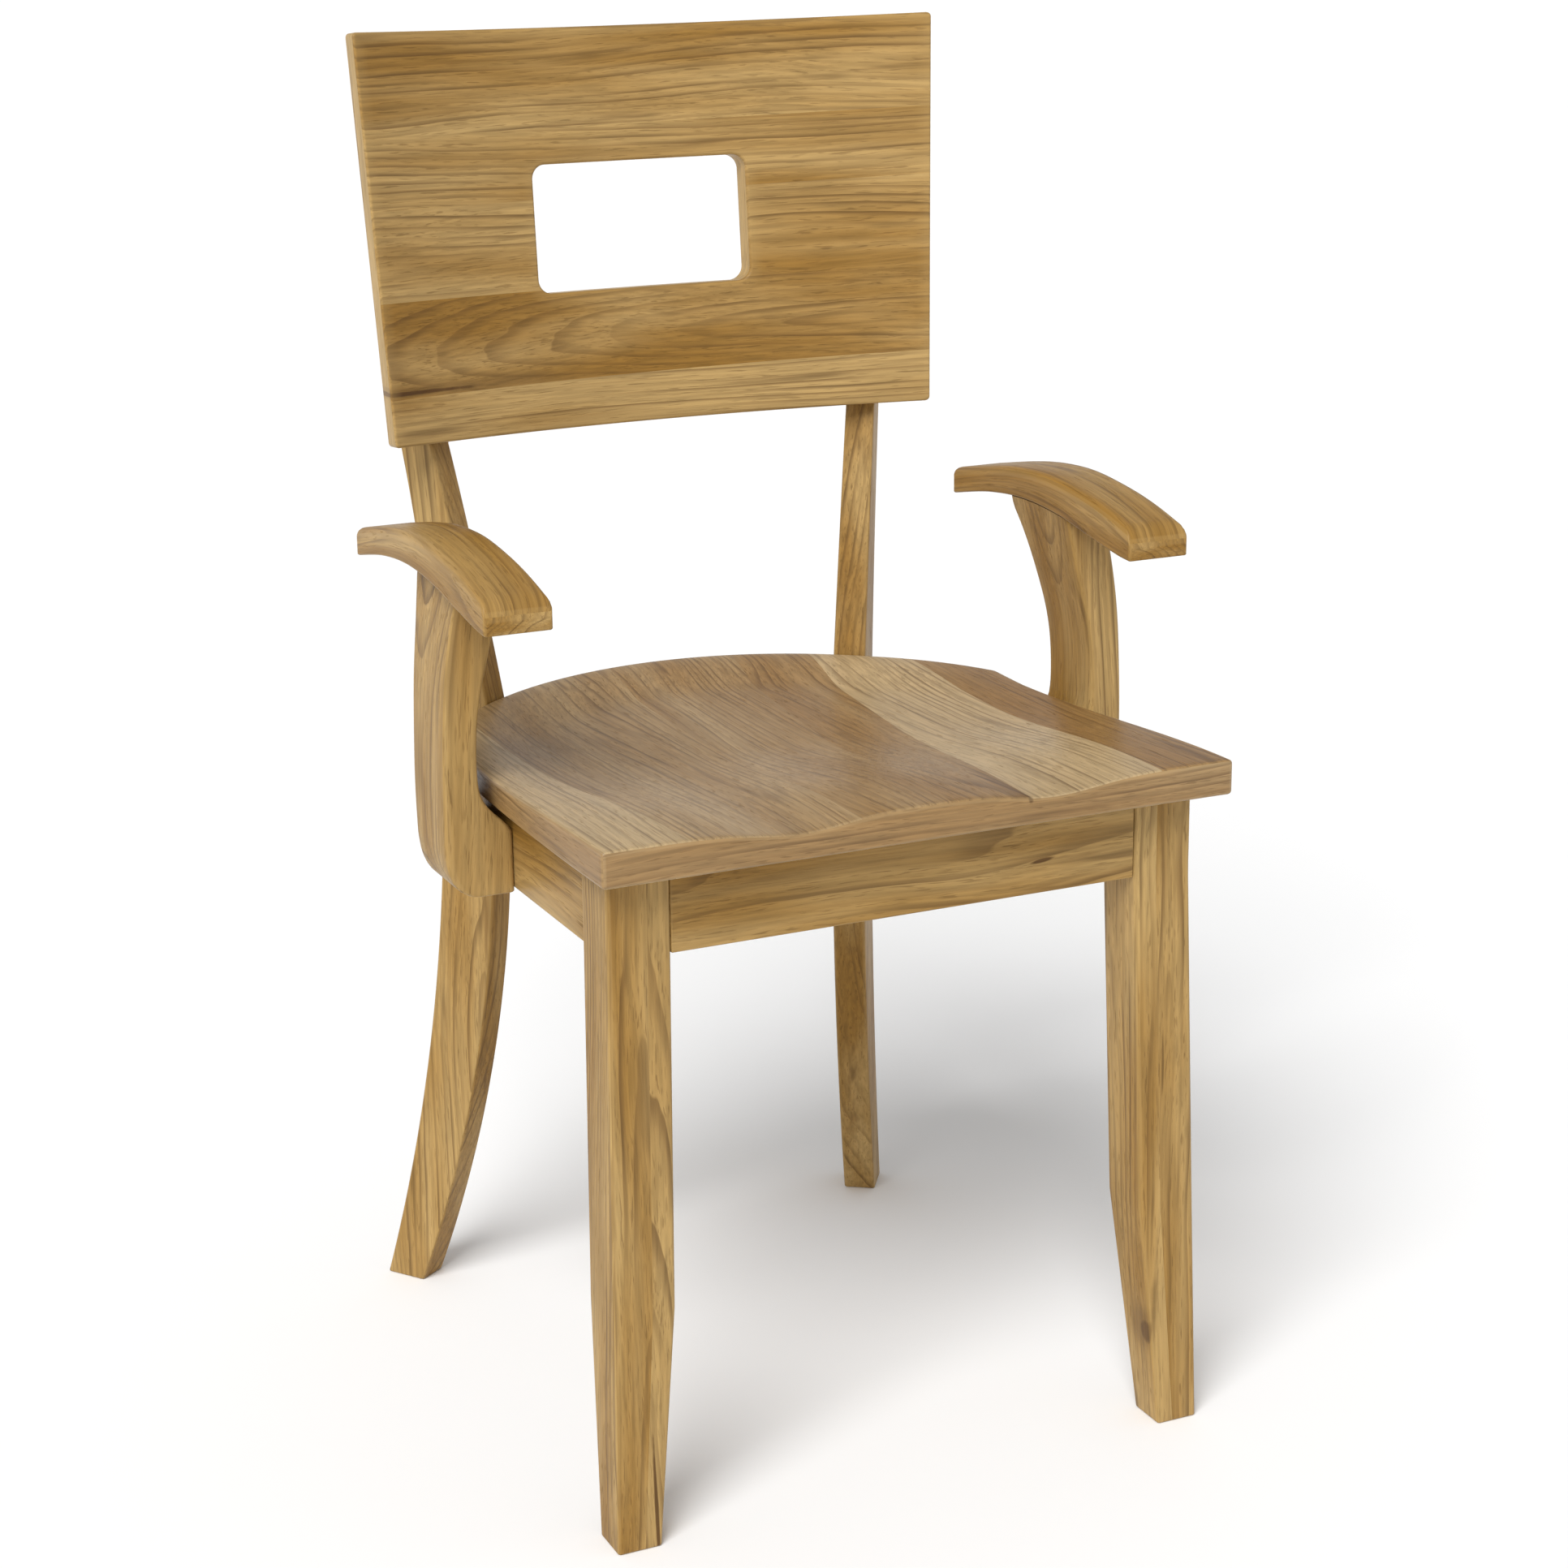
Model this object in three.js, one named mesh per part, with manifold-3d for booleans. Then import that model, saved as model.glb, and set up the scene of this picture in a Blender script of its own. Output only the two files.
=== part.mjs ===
// A hardwood dining armchair: a saddled seat on a D-shaped apron frame, two square front
// legs, two sabre-shaped rear posts that carry a bowed back panel with a hand hole, and a
// pair of arms on J-shaped supports.
//
// Millimetres, +Z up. The chair faces -Y, so its left side in the names is the -X side, the
// one on the left of somebody who faces the chair. Inside the frame group, y is measured
// backwards from the front edge of the seat and z upwards from the floor.

import * as THREE from 'three';
import { mergeVertices } from 'three/addons/utils/BufferGeometryUtils.js';
import Module from 'manifold-3d';

const wasm = await Module();
wasm.setup();

const { degToRad, lerp, clamp } = THREE.MathUtils;

// ---------------------------------------------------------------- driving dimensions

const gap = 0.3; // between neighbouring pieces, and round every fastener

const seatHeight = 470; // floor to the top of the seat's front edge
const seatWidth = 435.6;
const seatEdge = 23.2; // thickness of the front edge
const seatFall = 8.5; // the top of the side edge falls this far towards the back
const seatFallLength = 230;
const seatRearRise = 2; // the middle of the rear edge stands up again
const seatUndersideFall = 5;
const seatTaper = 6.5; // each side edge draws in this far over the straight part of the side
const seatStraightSide = 225;
const seatTaperEnd = 200; // the taper fades out over this length, up to the rear edge

const saddleDepth = 10;
const saddleFrontDepth = 6.5;
const saddleSpread = 88; // from the centre line to the deepest line of either hollow
const saddleHollowWidth = 42;
const saddleRearRim = 62; // the slope from the round rear edge down into the bowl
const saddleSideRim = 85;
const saddleRimFlat = 5; // level strip along the edge
const bowlStart = 60; // behind the front edge
const bowlLength = 170;

const hoopCentreDepth = 193.8; // the rear of the seat and apron is round about this point
const hoopMargin = 24.2; // from the half width of the seat to the front of the rear posts

const legSize = 41.6;
const legOverhang = 13.1; // of the seat past the leg's outer face
const legSetback = 27.7; // front edge of the seat to the front face at the apron
const legFoot = 30;
const legTaperHeight = 160;
const legSplay = 0.022; // outwards, per millimetre below the apron
const legRake = 0.03; // forwards, per millimetre below the apron

const apronHeight = 56.6;
const apronThickness = 19;
const frontApronReveal = 1.5; // set back from the faces of the legs
const sideApronReveal = 2.2;

const postAngle = degToRad(34.5); // each post stands on a spoke of the hoop
const postThickness = 24.4;
const postDepth = 42.5; // at the apron
const postLean = 0.012; // sideways, per millimetre above the middle of the apron
const postTaper = 0.016; // of the inner face, per millimetre from there up to the panel
const postFlatRise = 9.8; // from the apron's bottom edge to the flat that is bolted to it
const postFlatLength = 55;
const postFootFront = 83.6; // how far the foot sweeps out behind the flat front
const postFootDepth = 32.6;
const postFootSwell = 5; // fullness of the back of the sweep
const postPanelFront = 38.6; // behind the flat front, under the panel
const postPanelDepth = 27;
const postTopFront = 55;
const postTopDepth = 28;
const postTopMargin = 43.4; // below the top edge of the panel
const postSeatRise = 3.5; // the seat for the panel starts this far above the panel's bottom
const postCheek = 9; // wood left in front of the post's curve, then cut to the panel's back

const panelRise = 171.5; // from the seat's front edge up to the middle of the bottom edge
const panelHeight = 275; // along the board
const panelOverhang = 44.9; // of the bottom corners past the middle of the posts
const panelFlare = 10.9; // of either end, over the height
const panelThickness = 18;
const panelRadius = 550; // of the hollow front face
const panelForward = 1.5; // its back stands this far in front of the posts' curve
const panelLean = degToRad(5.07); // backwards

const windowWidth = 161.4;
const windowRise = 94.4; // along the board, above its bottom edge
const windowHeight = 88.3;
const windowCorner = 10;

const armRise = 109.5; // from the seat's front edge up to the underside of the arm's front
const armFront = 107; // behind the front edge of the seat
const armLength = 245.5;
const armWidth = 44.7;
const armInset = 22.6; // of the arm's inner edge past the inner face of its support
const armFrontRound = 12;
const armSideRound = 6.5;

const supportFront = 190;
const supportClearance = 7.2; // from the seat's widest place to the inner face
const supportThickness = 23.8;
const supportFootDrop = 2.4; // below the apron
const supportFootThickness = 21;
const supportFootWidth = 53;
const supportFootBend = 36; // height of the bend outside the foot
const supportTopWidth = 80;

const blockRise = 9.8; // above the bottom edge of the aprons
const blockHeight = 36;
const blockEnd = 40.8; // length of the face that is glued to each apron
const blockLegClearance = 1.6;
const rearBlockAngle = degToRad(47); // on the hoop, where the block ends
const rearBlockReach = 40; // along the side apron
const rearBlockThickness = 22;

const dowelRadius = 4;
const dowelLength = 36;
const armDowelLength = 24;
const screwRadius = 2.1;
const screwHead = 4.2;
const screwPoint = 4;
const boltRadius = 3.2;
const boltHead = 6.5;
const boltHeadHeight = 3.4;

const lowRowRise = 16.8; // the two rows of fasteners, above the bottom edge of the aprons
const highRowRise = 39.8;
const boltGrip = 27; // how deep each fastener reaches into the piece that it holds
const supportGrip = 17;
const panelGrip = 7;
const blockGrip = 13;
const seatGripFront = 9;
const seatGripRear = 6.5;

// ---------------------------------------------------------------- looks

const wood = (colour) => new THREE.MeshStandardMaterial({ color: colour, roughness: 0.42, metalness: 0 });
const honey = 0xc79a5a;
const straw = 0xcfa768;
const amber = 0xbb8c4e;
const birch = 0xd8bb8a;
const steel = () => new THREE.MeshStandardMaterial({ color: 0x8f8f8c, roughness: 0.35, metalness: 0.9 });

// ---------------------------------------------------------------- solids

const smooth = (t) => {
  const s = clamp(t, 0, 1);
  return s * s * (3 - 2 * s);
};

function welded(geometry) {
  const bare = geometry.index ? geometry.clone() : geometry;
  bare.deleteAttribute('normal');
  bare.deleteAttribute('uv');
  const merged = mergeVertices(bare, 1e-4);
  const corners = merged.index.array;
  const kept = [];
  for (let i = 0; i < corners.length; i += 3) {
    const [a, b, c] = corners.slice(i, i + 3);
    if (a !== b && b !== c && c !== a) kept.push(a, b, c);
  }
  merged.setIndex(kept);
  return merged;
}

function solidOf(geometry) {
  const closed = welded(geometry);
  return new wasm.Manifold(new wasm.Mesh({
    numProp: 3,
    vertProperties: new Float32Array(closed.attributes.position.array),
    triVerts: new Uint32Array(closed.index.array),
  }));
}

function geometryOf(solid) {
  const { vertProperties, triVerts } = solid.getMesh();
  const geometry = new THREE.BufferGeometry();
  geometry.setAttribute('position', new THREE.BufferAttribute(new Float32Array(vertProperties), 3));
  geometry.setIndex(new THREE.BufferAttribute(new Uint32Array(triVerts), 1));
  geometry.computeVertexNormals();
  return geometry;
}

// Takes the shape of one placed mesh out of another, wherever the two stand.
function cut(mesh, toolGeometry, toolPlace) {
  mesh.updateWorldMatrix(true, false);
  const toMesh = mesh.matrixWorld.clone().invert().multiply(toolPlace);
  const tool = toolGeometry.clone().applyMatrix4(toMesh);
  mesh.geometry = geometryOf(solidOf(mesh.geometry).subtract(solidOf(tool)));
}

// A block whose vertices are moved: place(u, v, w) gives the point for each fraction of
// the block's width, depth and height.
function shapedBlock(columns, rows, layers, place) {
  const block = new THREE.BoxGeometry(1, 1, 1, columns, rows, layers);
  const points = block.attributes.position;
  for (let i = 0; i < points.count; i += 1) {
    const [x, y, z] = place(points.getX(i) + 0.5, points.getY(i) + 0.5, points.getZ(i) + 0.5);
    points.setXYZ(i, x, y, z);
  }
  return welded(block);
}

// An outline drawn in x and z, made thick along +y from y = 0.
function upright(shape, thickness, curveSegments = 6) {
  const geometry = new THREE.ExtrudeGeometry(shape, {
    depth: thickness,
    bevelEnabled: false,
    curveSegments,
  });
  return geometry.rotateX(Math.PI / 2).translate(0, thickness, 0);
}

// An outline drawn in x and y, made thick along +z from z = 0.
function flat(shape, thickness, curveSegments = 6) {
  return new THREE.ExtrudeGeometry(shape, { depth: thickness, bevelEnabled: false, curveSegments });
}

// The same shape for the other side of the chair.
function mirroredInX(geometry) {
  geometry.scale(-1, 1, 1);
  const corners = geometry.index.array;
  for (let i = 0; i < corners.length; i += 3) {
    [corners[i + 1], corners[i + 2]] = [corners[i + 2], corners[i + 1]];
  }
  return geometry;
}

const armchair = new THREE.Group();
const frame = new THREE.Group();
armchair.add(frame);

function piece(name, geometry, material, parent = frame) {
  const mesh = new THREE.Mesh(welded(geometry), material);
  mesh.name = name;
  parent.add(mesh);
  return mesh;
}

const sides = [['left', -1], ['right', 1]];
const mirrored = (side, u) => (side > 0 ? u : 1 - u);

// ---------------------------------------------------------------- seat

const hoopRadius = seatWidth / 2 + hoopMargin;
const seatRearRadius = hoopRadius - gap;
const seatRear = (x) => hoopCentreDepth + Math.sqrt(seatRearRadius ** 2 - x ** 2);
const seatDepth = seatRear(0);
const seatUnderside = (y) => seatHeight - seatEdge - seatUndersideFall * (y / seatDepth);

const seatRim = (x, y) => {
  const fall = seatFall * smooth(y / seatFallLength);
  const middle = Math.max(0, 1 - (x / (seatWidth / 3)) ** 2);
  const rise = seatRearRise * middle * smooth((y - seatFallLength) / (seatDepth - seatFallLength));
  return seatHeight - fall + rise;
};

// Two hollows run in from the front with a low ridge between them, and join in one bowl.
const saddle = (x, y) => {
  const hollow = Math.exp(-(((Math.abs(x) - saddleSpread) / saddleHollowWidth) ** 2));
  const fromRear = seatRearRadius - Math.hypot(x, Math.max(0, y - hoopCentreDepth));
  const fromSide = seatWidth / 2 - Math.abs(x);
  const sideRim = smooth((fromSide - saddleRimFlat) / saddleSideRim);
  const bowl = smooth((y - bowlStart) / bowlLength) * sideRim;
  const depth = lerp(saddleFrontDepth * hollow, saddleDepth, bowl);
  return depth * smooth((fromRear - saddleRimFlat) / saddleRearRim);
};

const seatGeometry = shapedBlock(26, 20, 1, (u, v, w) => {
  const across = 2 * u - 1;
  const y = v * seatRear(across * (seatWidth / 2));
  const draw = seatTaper * Math.min(1.3, (y / seatStraightSide) ** 2);
  const x = across * (seatWidth / 2 - draw * smooth((seatDepth - y) / seatTaperEnd));
  return [x, y, w > 0.5 ? seatRim(x, y) - saddle(x, y) : seatUnderside(y)];
});
const seat = piece('seat', seatGeometry, wood(honey));

// ---------------------------------------------------------------- front legs and aprons

const apronBottom = seatHeight - seatEdge - apronHeight;
const legOuter = seatWidth / 2 - legOverhang;
const legInner = legOuter - legSize;
const legBack = legSetback + legSize;
const legTop = seatUnderside(legBack) - gap;
const legLevels = [0, legTaperHeight, apronBottom, legTop];

// The outer and front faces run straight down to the foot; the other two taper.
function legGeometry(side) {
  return shapedBlock(1, 1, legLevels.length - 1, (u, v, w) => {
    const z = legLevels[Math.round(w * (legLevels.length - 1))];
    const below = Math.max(0, apronBottom - z);
    const size = z > 0 ? legSize : legFoot;
    const x = legOuter + legSplay * below - size * (1 - mirrored(side, u));
    const y = legSetback - legRake * below + size * v;
    return [side * x, y, z];
  });
}

const frontLegs = sides.map(([label, side]) => piece(`front_leg_${label}`, legGeometry(side), wood(straw)));

const frontApronFront = legSetback + frontApronReveal;
const frontApronBack = frontApronFront + apronThickness;
const frontApronTop = seatUnderside(frontApronBack) - gap;
const frontApron = piece(
  'front_apron',
  new THREE.BoxGeometry(2 * (legInner - gap), apronThickness, frontApronTop - apronBottom),
  wood(amber),
);
frontApron.position.set(0, (frontApronFront + frontApronBack) / 2, (frontApronTop + apronBottom) / 2);

const sideApronOuter = legOuter - sideApronReveal;
const sideApronInner = sideApronOuter - apronThickness;
const hoopOuter = hoopRadius - gap;
const hoopInner = hoopOuter - apronThickness;
const hoopJoint = hoopCentreDepth + Math.sqrt(hoopOuter ** 2 - sideApronOuter ** 2);

const sideAprons = sides.map(([label, side]) => {
  const outline = new THREE.Shape();
  outline.moveTo(legBack + gap, apronBottom);
  outline.lineTo(hoopJoint - gap, apronBottom);
  outline.lineTo(hoopJoint - gap, seatUnderside(hoopJoint) - gap);
  outline.lineTo(legBack + gap, seatUnderside(legBack) - gap);
  const apron = piece(`side_apron_${label}`, upright(outline, apronThickness), wood(honey));
  apron.rotation.z = Math.PI / 2;
  apron.position.x = side > 0 ? sideApronOuter : -sideApronInner;
  return apron;
});

// The rear apron is one bent board between the ends of the side aprons.
const rearApronTop = seatUnderside(seatDepth) - gap;
const rearApron = piece('rear_apron', shapedBlock(28, 1, 1, (u, v, w) => {
  const radius = lerp(hoopInner, hoopOuter, v);
  const reach = Math.acos((hoopJoint - hoopCentreDepth) / radius);
  const angle = reach * (2 * u - 1);
  return [
    radius * Math.sin(angle),
    hoopCentreDepth + radius * Math.cos(angle),
    lerp(apronBottom, rearApronTop, w),
  ];
}), wood(amber));

// ---------------------------------------------------------------- back panel

// The board is drawn standing straight, with the middle of its bottom front edge at the
// origin, and leans back about that edge.
const panelBow = (x) => panelRadius - Math.sqrt(panelRadius ** 2 - x ** 2);
const postPanelRadius = hoopRadius + postPanelFront;
const postPanelX = postPanelRadius * Math.sin(postAngle);
const postPanelY = hoopCentreDepth + postPanelRadius * Math.cos(postAngle);
const panelBottom = seatHeight + panelRise;
const panelDepth = postPanelY + panelBow(postPanelX) - panelThickness - panelForward;
const panelHalfWidth = (height) => postPanelX + panelOverhang + panelFlare * (height / panelHeight);

function panelGeometry(thickness, spare) {
  return shapedBlock(26, 1, 4, (u, v, w) => {
    const height = lerp(-spare, panelHeight + spare, w);
    const x = (2 * u - 1) * (panelHalfWidth(height) + spare);
    return [x, v * thickness - panelBow(x), height];
  });
}

const panel = piece('back_panel', panelGeometry(panelThickness, 0), wood(honey));
panel.position.set(0, panelDepth, panelBottom);
panel.rotation.x = -panelLean;
panel.updateWorldMatrix(true, false);

const windowShape = new THREE.Shape();
const windowSide = windowWidth / 2;
const windowTop = windowRise + windowHeight;
windowShape.moveTo(-windowSide + windowCorner, windowRise);
windowShape.lineTo(windowSide - windowCorner, windowRise);
windowShape.quadraticCurveTo(windowSide, windowRise, windowSide, windowRise + windowCorner);
windowShape.lineTo(windowSide, windowTop - windowCorner);
windowShape.quadraticCurveTo(windowSide, windowTop, windowSide - windowCorner, windowTop);
windowShape.lineTo(-windowSide + windowCorner, windowTop);
windowShape.quadraticCurveTo(-windowSide, windowTop, -windowSide, windowTop - windowCorner);
windowShape.lineTo(-windowSide, windowRise + windowCorner);
windowShape.quadraticCurveTo(-windowSide, windowRise, -windowSide + windowCorner, windowRise);
const windowReach = 4 * panelThickness;
const windowTool = upright(windowShape, windowReach, 4).translate(0, -windowReach / 2, 0);
cut(panel, windowTool, panel.matrixWorld);

// ---------------------------------------------------------------- rear posts

const postFlatBottom = apronBottom + postFlatRise;
const postFlatTop = postFlatBottom + postFlatLength;
const postLevel = apronBottom + (seatHeight - seatEdge - apronBottom) / 2;
const postSeat = panelBottom + postSeatRise;
const postHeight = panelBottom + panelHeight * Math.cos(panelLean) - postTopMargin;
const postBack = hoopRadius + postDepth;
const postFoot = hoopRadius + postFootFront;
const postPanelBack = postPanelRadius + postPanelDepth;
const postTopBack = hoopRadius + postTopFront + postTopDepth;

// The post's outline on its spoke: x is the distance from the hoop's centre. The flat is
// bolted to the apron, and the two bends run off it tangentially.
const postOutline = new THREE.Shape();
postOutline.moveTo(postFoot, 0);
postOutline.quadraticCurveTo(hoopRadius, postFlatBottom / 2, hoopRadius, postFlatBottom);
postOutline.lineTo(hoopRadius, postFlatTop);
postOutline.quadraticCurveTo(
  lerp(hoopRadius, postPanelRadius, 0.47),
  lerp(postFlatTop, postSeat, 0.55),
  postPanelRadius,
  postSeat,
);
postOutline.lineTo(postPanelRadius - postCheek, postSeat);
postOutline.lineTo(hoopRadius + postTopFront - postCheek, postHeight);
postOutline.lineTo(postTopBack, postHeight);
postOutline.lineTo(postPanelBack, postSeat);
postOutline.quadraticCurveTo(
  lerp(postBack, postPanelBack, 0.2),
  (postFlatTop + postSeat) / 2,
  postBack,
  postLevel,
);
postOutline.quadraticCurveTo(postBack + postFootSwell, postLevel / 2, postFoot + postFootDepth, 0);

const postDrift = (z) => postLean * (postLevel - z);
const postNarrowing = (z) => postTaper * clamp(z - postLevel, 0, postSeat - postLevel);

function postGeometry(side) {
  const geometry = upright(postOutline, postThickness, 14).translate(0, -postThickness / 2, 0);
  const points = geometry.attributes.position;
  for (let i = 0; i < points.count; i += 1) {
    const z = points.getZ(i);
    const inner = points.getY(i) * side > 0;
    const shift = postDrift(z) - (inner ? postNarrowing(z) : 0);
    points.setY(i, points.getY(i) + side * shift);
  }
  return geometry;
}

const panelSeat = panelGeometry(panelThickness + gap, gap);
const spokes = sides.map(([, side]) => {
  const spoke = new THREE.Group();
  spoke.position.y = hoopCentreDepth;
  spoke.rotation.z = Math.PI / 2 - side * postAngle;
  frame.add(spoke);
  return spoke;
});
const rearPosts = sides.map(([label, side], i) => {
  const post = piece(`rear_post_${label}`, postGeometry(side), wood(straw), spokes[i]);
  cut(post, panelSeat, panel.matrixWorld);
  return post;
});

// ---------------------------------------------------------------- arms

const supportInner = seatWidth / 2 + supportClearance;
const supportOuter = supportInner + supportThickness;
const armInner = supportInner - armInset;
const armLow = seatHeight + armRise;

// A curve along the arm through points given as a share of its length and a height above
// the underside of its front end.
const armCurve = (points) => new THREE.SplineCurve(
  points.map(([share, rise]) => new THREE.Vector2(armFront + share * armLength, armLow + rise)),
);
const armUnderside = armCurve([
  [0, 0], [0.07, 1.3], [0.22, 7.1], [0.4, 14.5], [0.59, 17.2], [0.79, 13.3], [1, 3.7],
]);
const armCrest = armCurve([
  [0, 20.1], [0.14, 28.8], [0.28, 34.8], [0.46, 38.9], [0.63, 37.4], [0.79, 32], [1, 22.3],
]);

// Height of a curve at a given y, by halving the interval.
function heightAt(curve, y) {
  let low = 0;
  let high = 1;
  for (let step = 0; step < 30; step += 1) {
    const middle = (low + high) / 2;
    if (curve.getPoint(middle).x < y) low = middle;
    else high = middle;
  }
  return curve.getPoint((low + high) / 2).y;
}

const quarterRound = (radius, distance) => {
  const inside = clamp(radius - distance, 0, radius);
  return radius - Math.sqrt(radius ** 2 - inside ** 2);
};

const armRows = 22;
const armColumns = 6;
const armRounds = [0, 0.08, 0.3, 1]; // where the rows and columns fall across a round-over
function armGeometry(side) {
  return shapedBlock(armColumns, armRows, 1, (u, v, w) => {
    const row = Math.round(v * armRows);
    const last = armRounds.length - 1;
    const y = row < last
      ? armFront + armFrontRound * armRounds[row]
      : lerp(armFront + armFrontRound, armFront + armLength, (row - last) / (armRows - last));
    const column = Math.round(u * armColumns);
    const fromEdge = armSideRound * armRounds[Math.min(column, armColumns - column)];
    const middle = column === armColumns / 2;
    const across = column < armColumns / 2 ? fromEdge : armWidth - fromEdge;
    const x = armInner + (middle ? armWidth / 2 : across);
    const drop = Math.max(
      quarterRound(armFrontRound, y - armFront) * 0.95,
      quarterRound(armSideRound, middle ? armSideRound : fromEdge) * 0.85,
    );
    const z = w > 0.5 ? heightAt(armCrest, y) - drop : heightAt(armUnderside, y);
    return [side > 0 ? x : x - 2 * armInner - armWidth, y, z];
  });
}

const armRests = sides.map(([label, side]) => piece(`arm_rest_${label}`, armGeometry(side), wood(honey)));

// ---------------------------------------------------------------- arm supports

// Seen from the front: a foot against the side apron, a bend that clears the seat, and a
// post that leans in again under the arm. Heights are above or below the seat's front edge.
function supportGeometry(side) {
  const footInner = sideApronOuter + gap;
  const footBottom = apronBottom - supportFootDrop;
  const topRise = 132;
  const reach = 1.5 * supportTopWidth;
  const point = (from, drawnIn, rise) => new THREE.Vector2(from - drawnIn, seatHeight + rise);

  const outline = new THREE.Shape();
  outline.moveTo(footInner, footBottom);
  outline.lineTo(footInner + supportFootThickness, footBottom);
  outline.quadraticCurveTo(supportOuter, footBottom, supportOuter, footBottom + supportFootBend);
  outline.splineThru([
    point(supportOuter, 0.6, 0),
    point(supportOuter, 3.4, 54),
    point(supportOuter, 9.6, 97),
    point(supportOuter, 18, topRise),
  ]);
  outline.lineTo(supportInner - 23, seatHeight + topRise);
  outline.splineThru([
    point(supportInner, 12.6, 86),
    point(supportInner, 3.6, 48),
    point(supportInner, 0.3, 20),
    point(supportInner, 0.6, -9),
    point(supportInner, 5.5, -22),
    point(supportInner, 14, -31.2),
    point(footInner, 0, -39.4),
  ]);
  const front = upright(outline, reach, 5).translate(0, supportFront, 0);

  // Seen from the side: nearly parallel, with a flare at the back under the arm.
  const underArm = (y) => heightAt(armUnderside, supportFront + y) - gap;
  const profile = new THREE.Shape();
  profile.moveTo(0, footBottom);
  profile.lineTo(supportFootWidth, footBottom);
  profile.splineThru([
    new THREE.Vector2(58.5, seatHeight - 30),
    new THREE.Vector2(60.5, seatHeight + 35),
    new THREE.Vector2(64.5, seatHeight + 75),
    new THREE.Vector2(71, seatHeight + 100),
    new THREE.Vector2(supportTopWidth, underArm(supportTopWidth)),
  ]);
  const topSteps = 8;
  for (let step = topSteps - 1; step >= 0; step -= 1) {
    const y = (supportTopWidth * step) / topSteps;
    profile.lineTo(y, underArm(y));
  }
  const profileSolid = upright(profile, supportOuter, 5)
    .rotateZ(Math.PI / 2)
    .translate(supportOuter + 1, supportFront, 0);
  const geometry = geometryOf(solidOf(front).intersect(solidOf(profileSolid)));
  return side > 0 ? geometry : mirroredInX(geometry);
}

const armSupports = sides.map(([label, side]) => (
  piece(`arm_support_${label}`, supportGeometry(side), wood(straw))
));

// ---------------------------------------------------------------- corner blocks

const blockBottom = apronBottom + blockRise;
const blockFaceX = sideApronInner - gap;
const blockFaceY = frontApronBack + gap;
const blockCut = blockFaceX - legInner + legBack - blockFaceY + blockLegClearance * Math.SQRT2;
const blockReach = blockCut + blockEnd;

const frontBlocks = sides.map(([label, side]) => {
  const outline = new THREE.Shape();
  outline.moveTo(side * (blockFaceX - blockReach), blockFaceY);
  outline.lineTo(side * (blockFaceX - blockCut), blockFaceY);
  outline.lineTo(side * blockFaceX, blockFaceY + blockCut);
  outline.lineTo(side * blockFaceX, blockFaceY + blockReach);
  const block = piece(`front_corner_block_${label}`, flat(outline, blockHeight), wood(birch));
  block.position.z = blockBottom;
  return block;
});

const rearBlockBend = hoopInner - gap;
const rearBlockStart = Math.asin(blockFaceX / rearBlockBend);
const rearBlockCorner = hoopCentreDepth + rearBlockBend * Math.cos(rearBlockStart);

const rearBlocks = sides.map(([label, side]) => {
  const steps = 4;
  const outline = new THREE.Shape();
  outline.moveTo(side * blockFaceX, rearBlockCorner - rearBlockReach);
  for (let step = 0; step <= steps; step += 1) {
    const angle = lerp(rearBlockStart, rearBlockAngle, step / steps);
    outline.lineTo(
      side * rearBlockBend * Math.sin(angle),
      hoopCentreDepth + rearBlockBend * Math.cos(angle),
    );
  }
  const inner = rearBlockBend - rearBlockThickness;
  outline.lineTo(
    side * inner * Math.sin(rearBlockAngle),
    hoopCentreDepth + inner * Math.cos(rearBlockAngle),
  );
  outline.lineTo(side * (blockFaceX - rearBlockThickness), rearBlockCorner - rearBlockReach);
  const block = piece(`rear_corner_block_${label}`, flat(outline, blockHeight), wood(birch));
  block.position.z = blockBottom;
  return block;
});

// ---------------------------------------------------------------- fasteners

const turned = (points, segments = 8) => (
  new THREE.LatheGeometry(points.map(([r, y]) => new THREE.Vector2(r, y)), segments)
);

const dowelShape = (length, spare = 0) => turned([
  [0, -length / 2 - spare],
  [dowelRadius + spare, -length / 2 - spare],
  [dowelRadius + spare, length / 2 + spare],
  [0, length / 2 + spare],
]);

// Its head is flush at y = 0 and its point is at y = length. The hole is open above it.
const screwShape = (length, spare = 0) => turned([
  ...(spare > 0 ? [[0, -screwHead], [screwHead + spare, -screwHead]] : [[0, 0]]),
  [screwHead + spare, 0],
  [screwRadius + spare, screwHead - screwRadius],
  [screwRadius + spare, length - screwPoint + spare],
  [0, length + spare],
]);

const boltShape = (length, spare = 0) => turned([
  [0, -boltHeadHeight - spare],
  [boltHead + spare, -boltHeadHeight - spare],
  [boltHead + spare, -gap + spare],
  [boltRadius + spare, -gap + spare],
  [boltRadius + spare, length + spare],
  [0, length + spare],
]);

const up = new THREE.Vector3(0, 1, 0);

// Sets a fastener at a point, pointing along a direction, and bores its hole in each piece.
function fasten(name, shape, length, material, at, along, pieces) {
  const mesh = piece(name, shape(length), material);
  mesh.position.set(...at);
  mesh.quaternion.setFromUnitVectors(up, new THREE.Vector3(...along).normalize());
  mesh.updateWorldMatrix(true, false);
  pieces.forEach((target) => cut(target, shape(length, gap), mesh.matrixWorld));
}

const dowelWood = () => wood(birch);
const lowRow = apronBottom + lowRowRise;
const rows = [['low', lowRow], ['high', apronBottom + highRowRise]];

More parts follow.
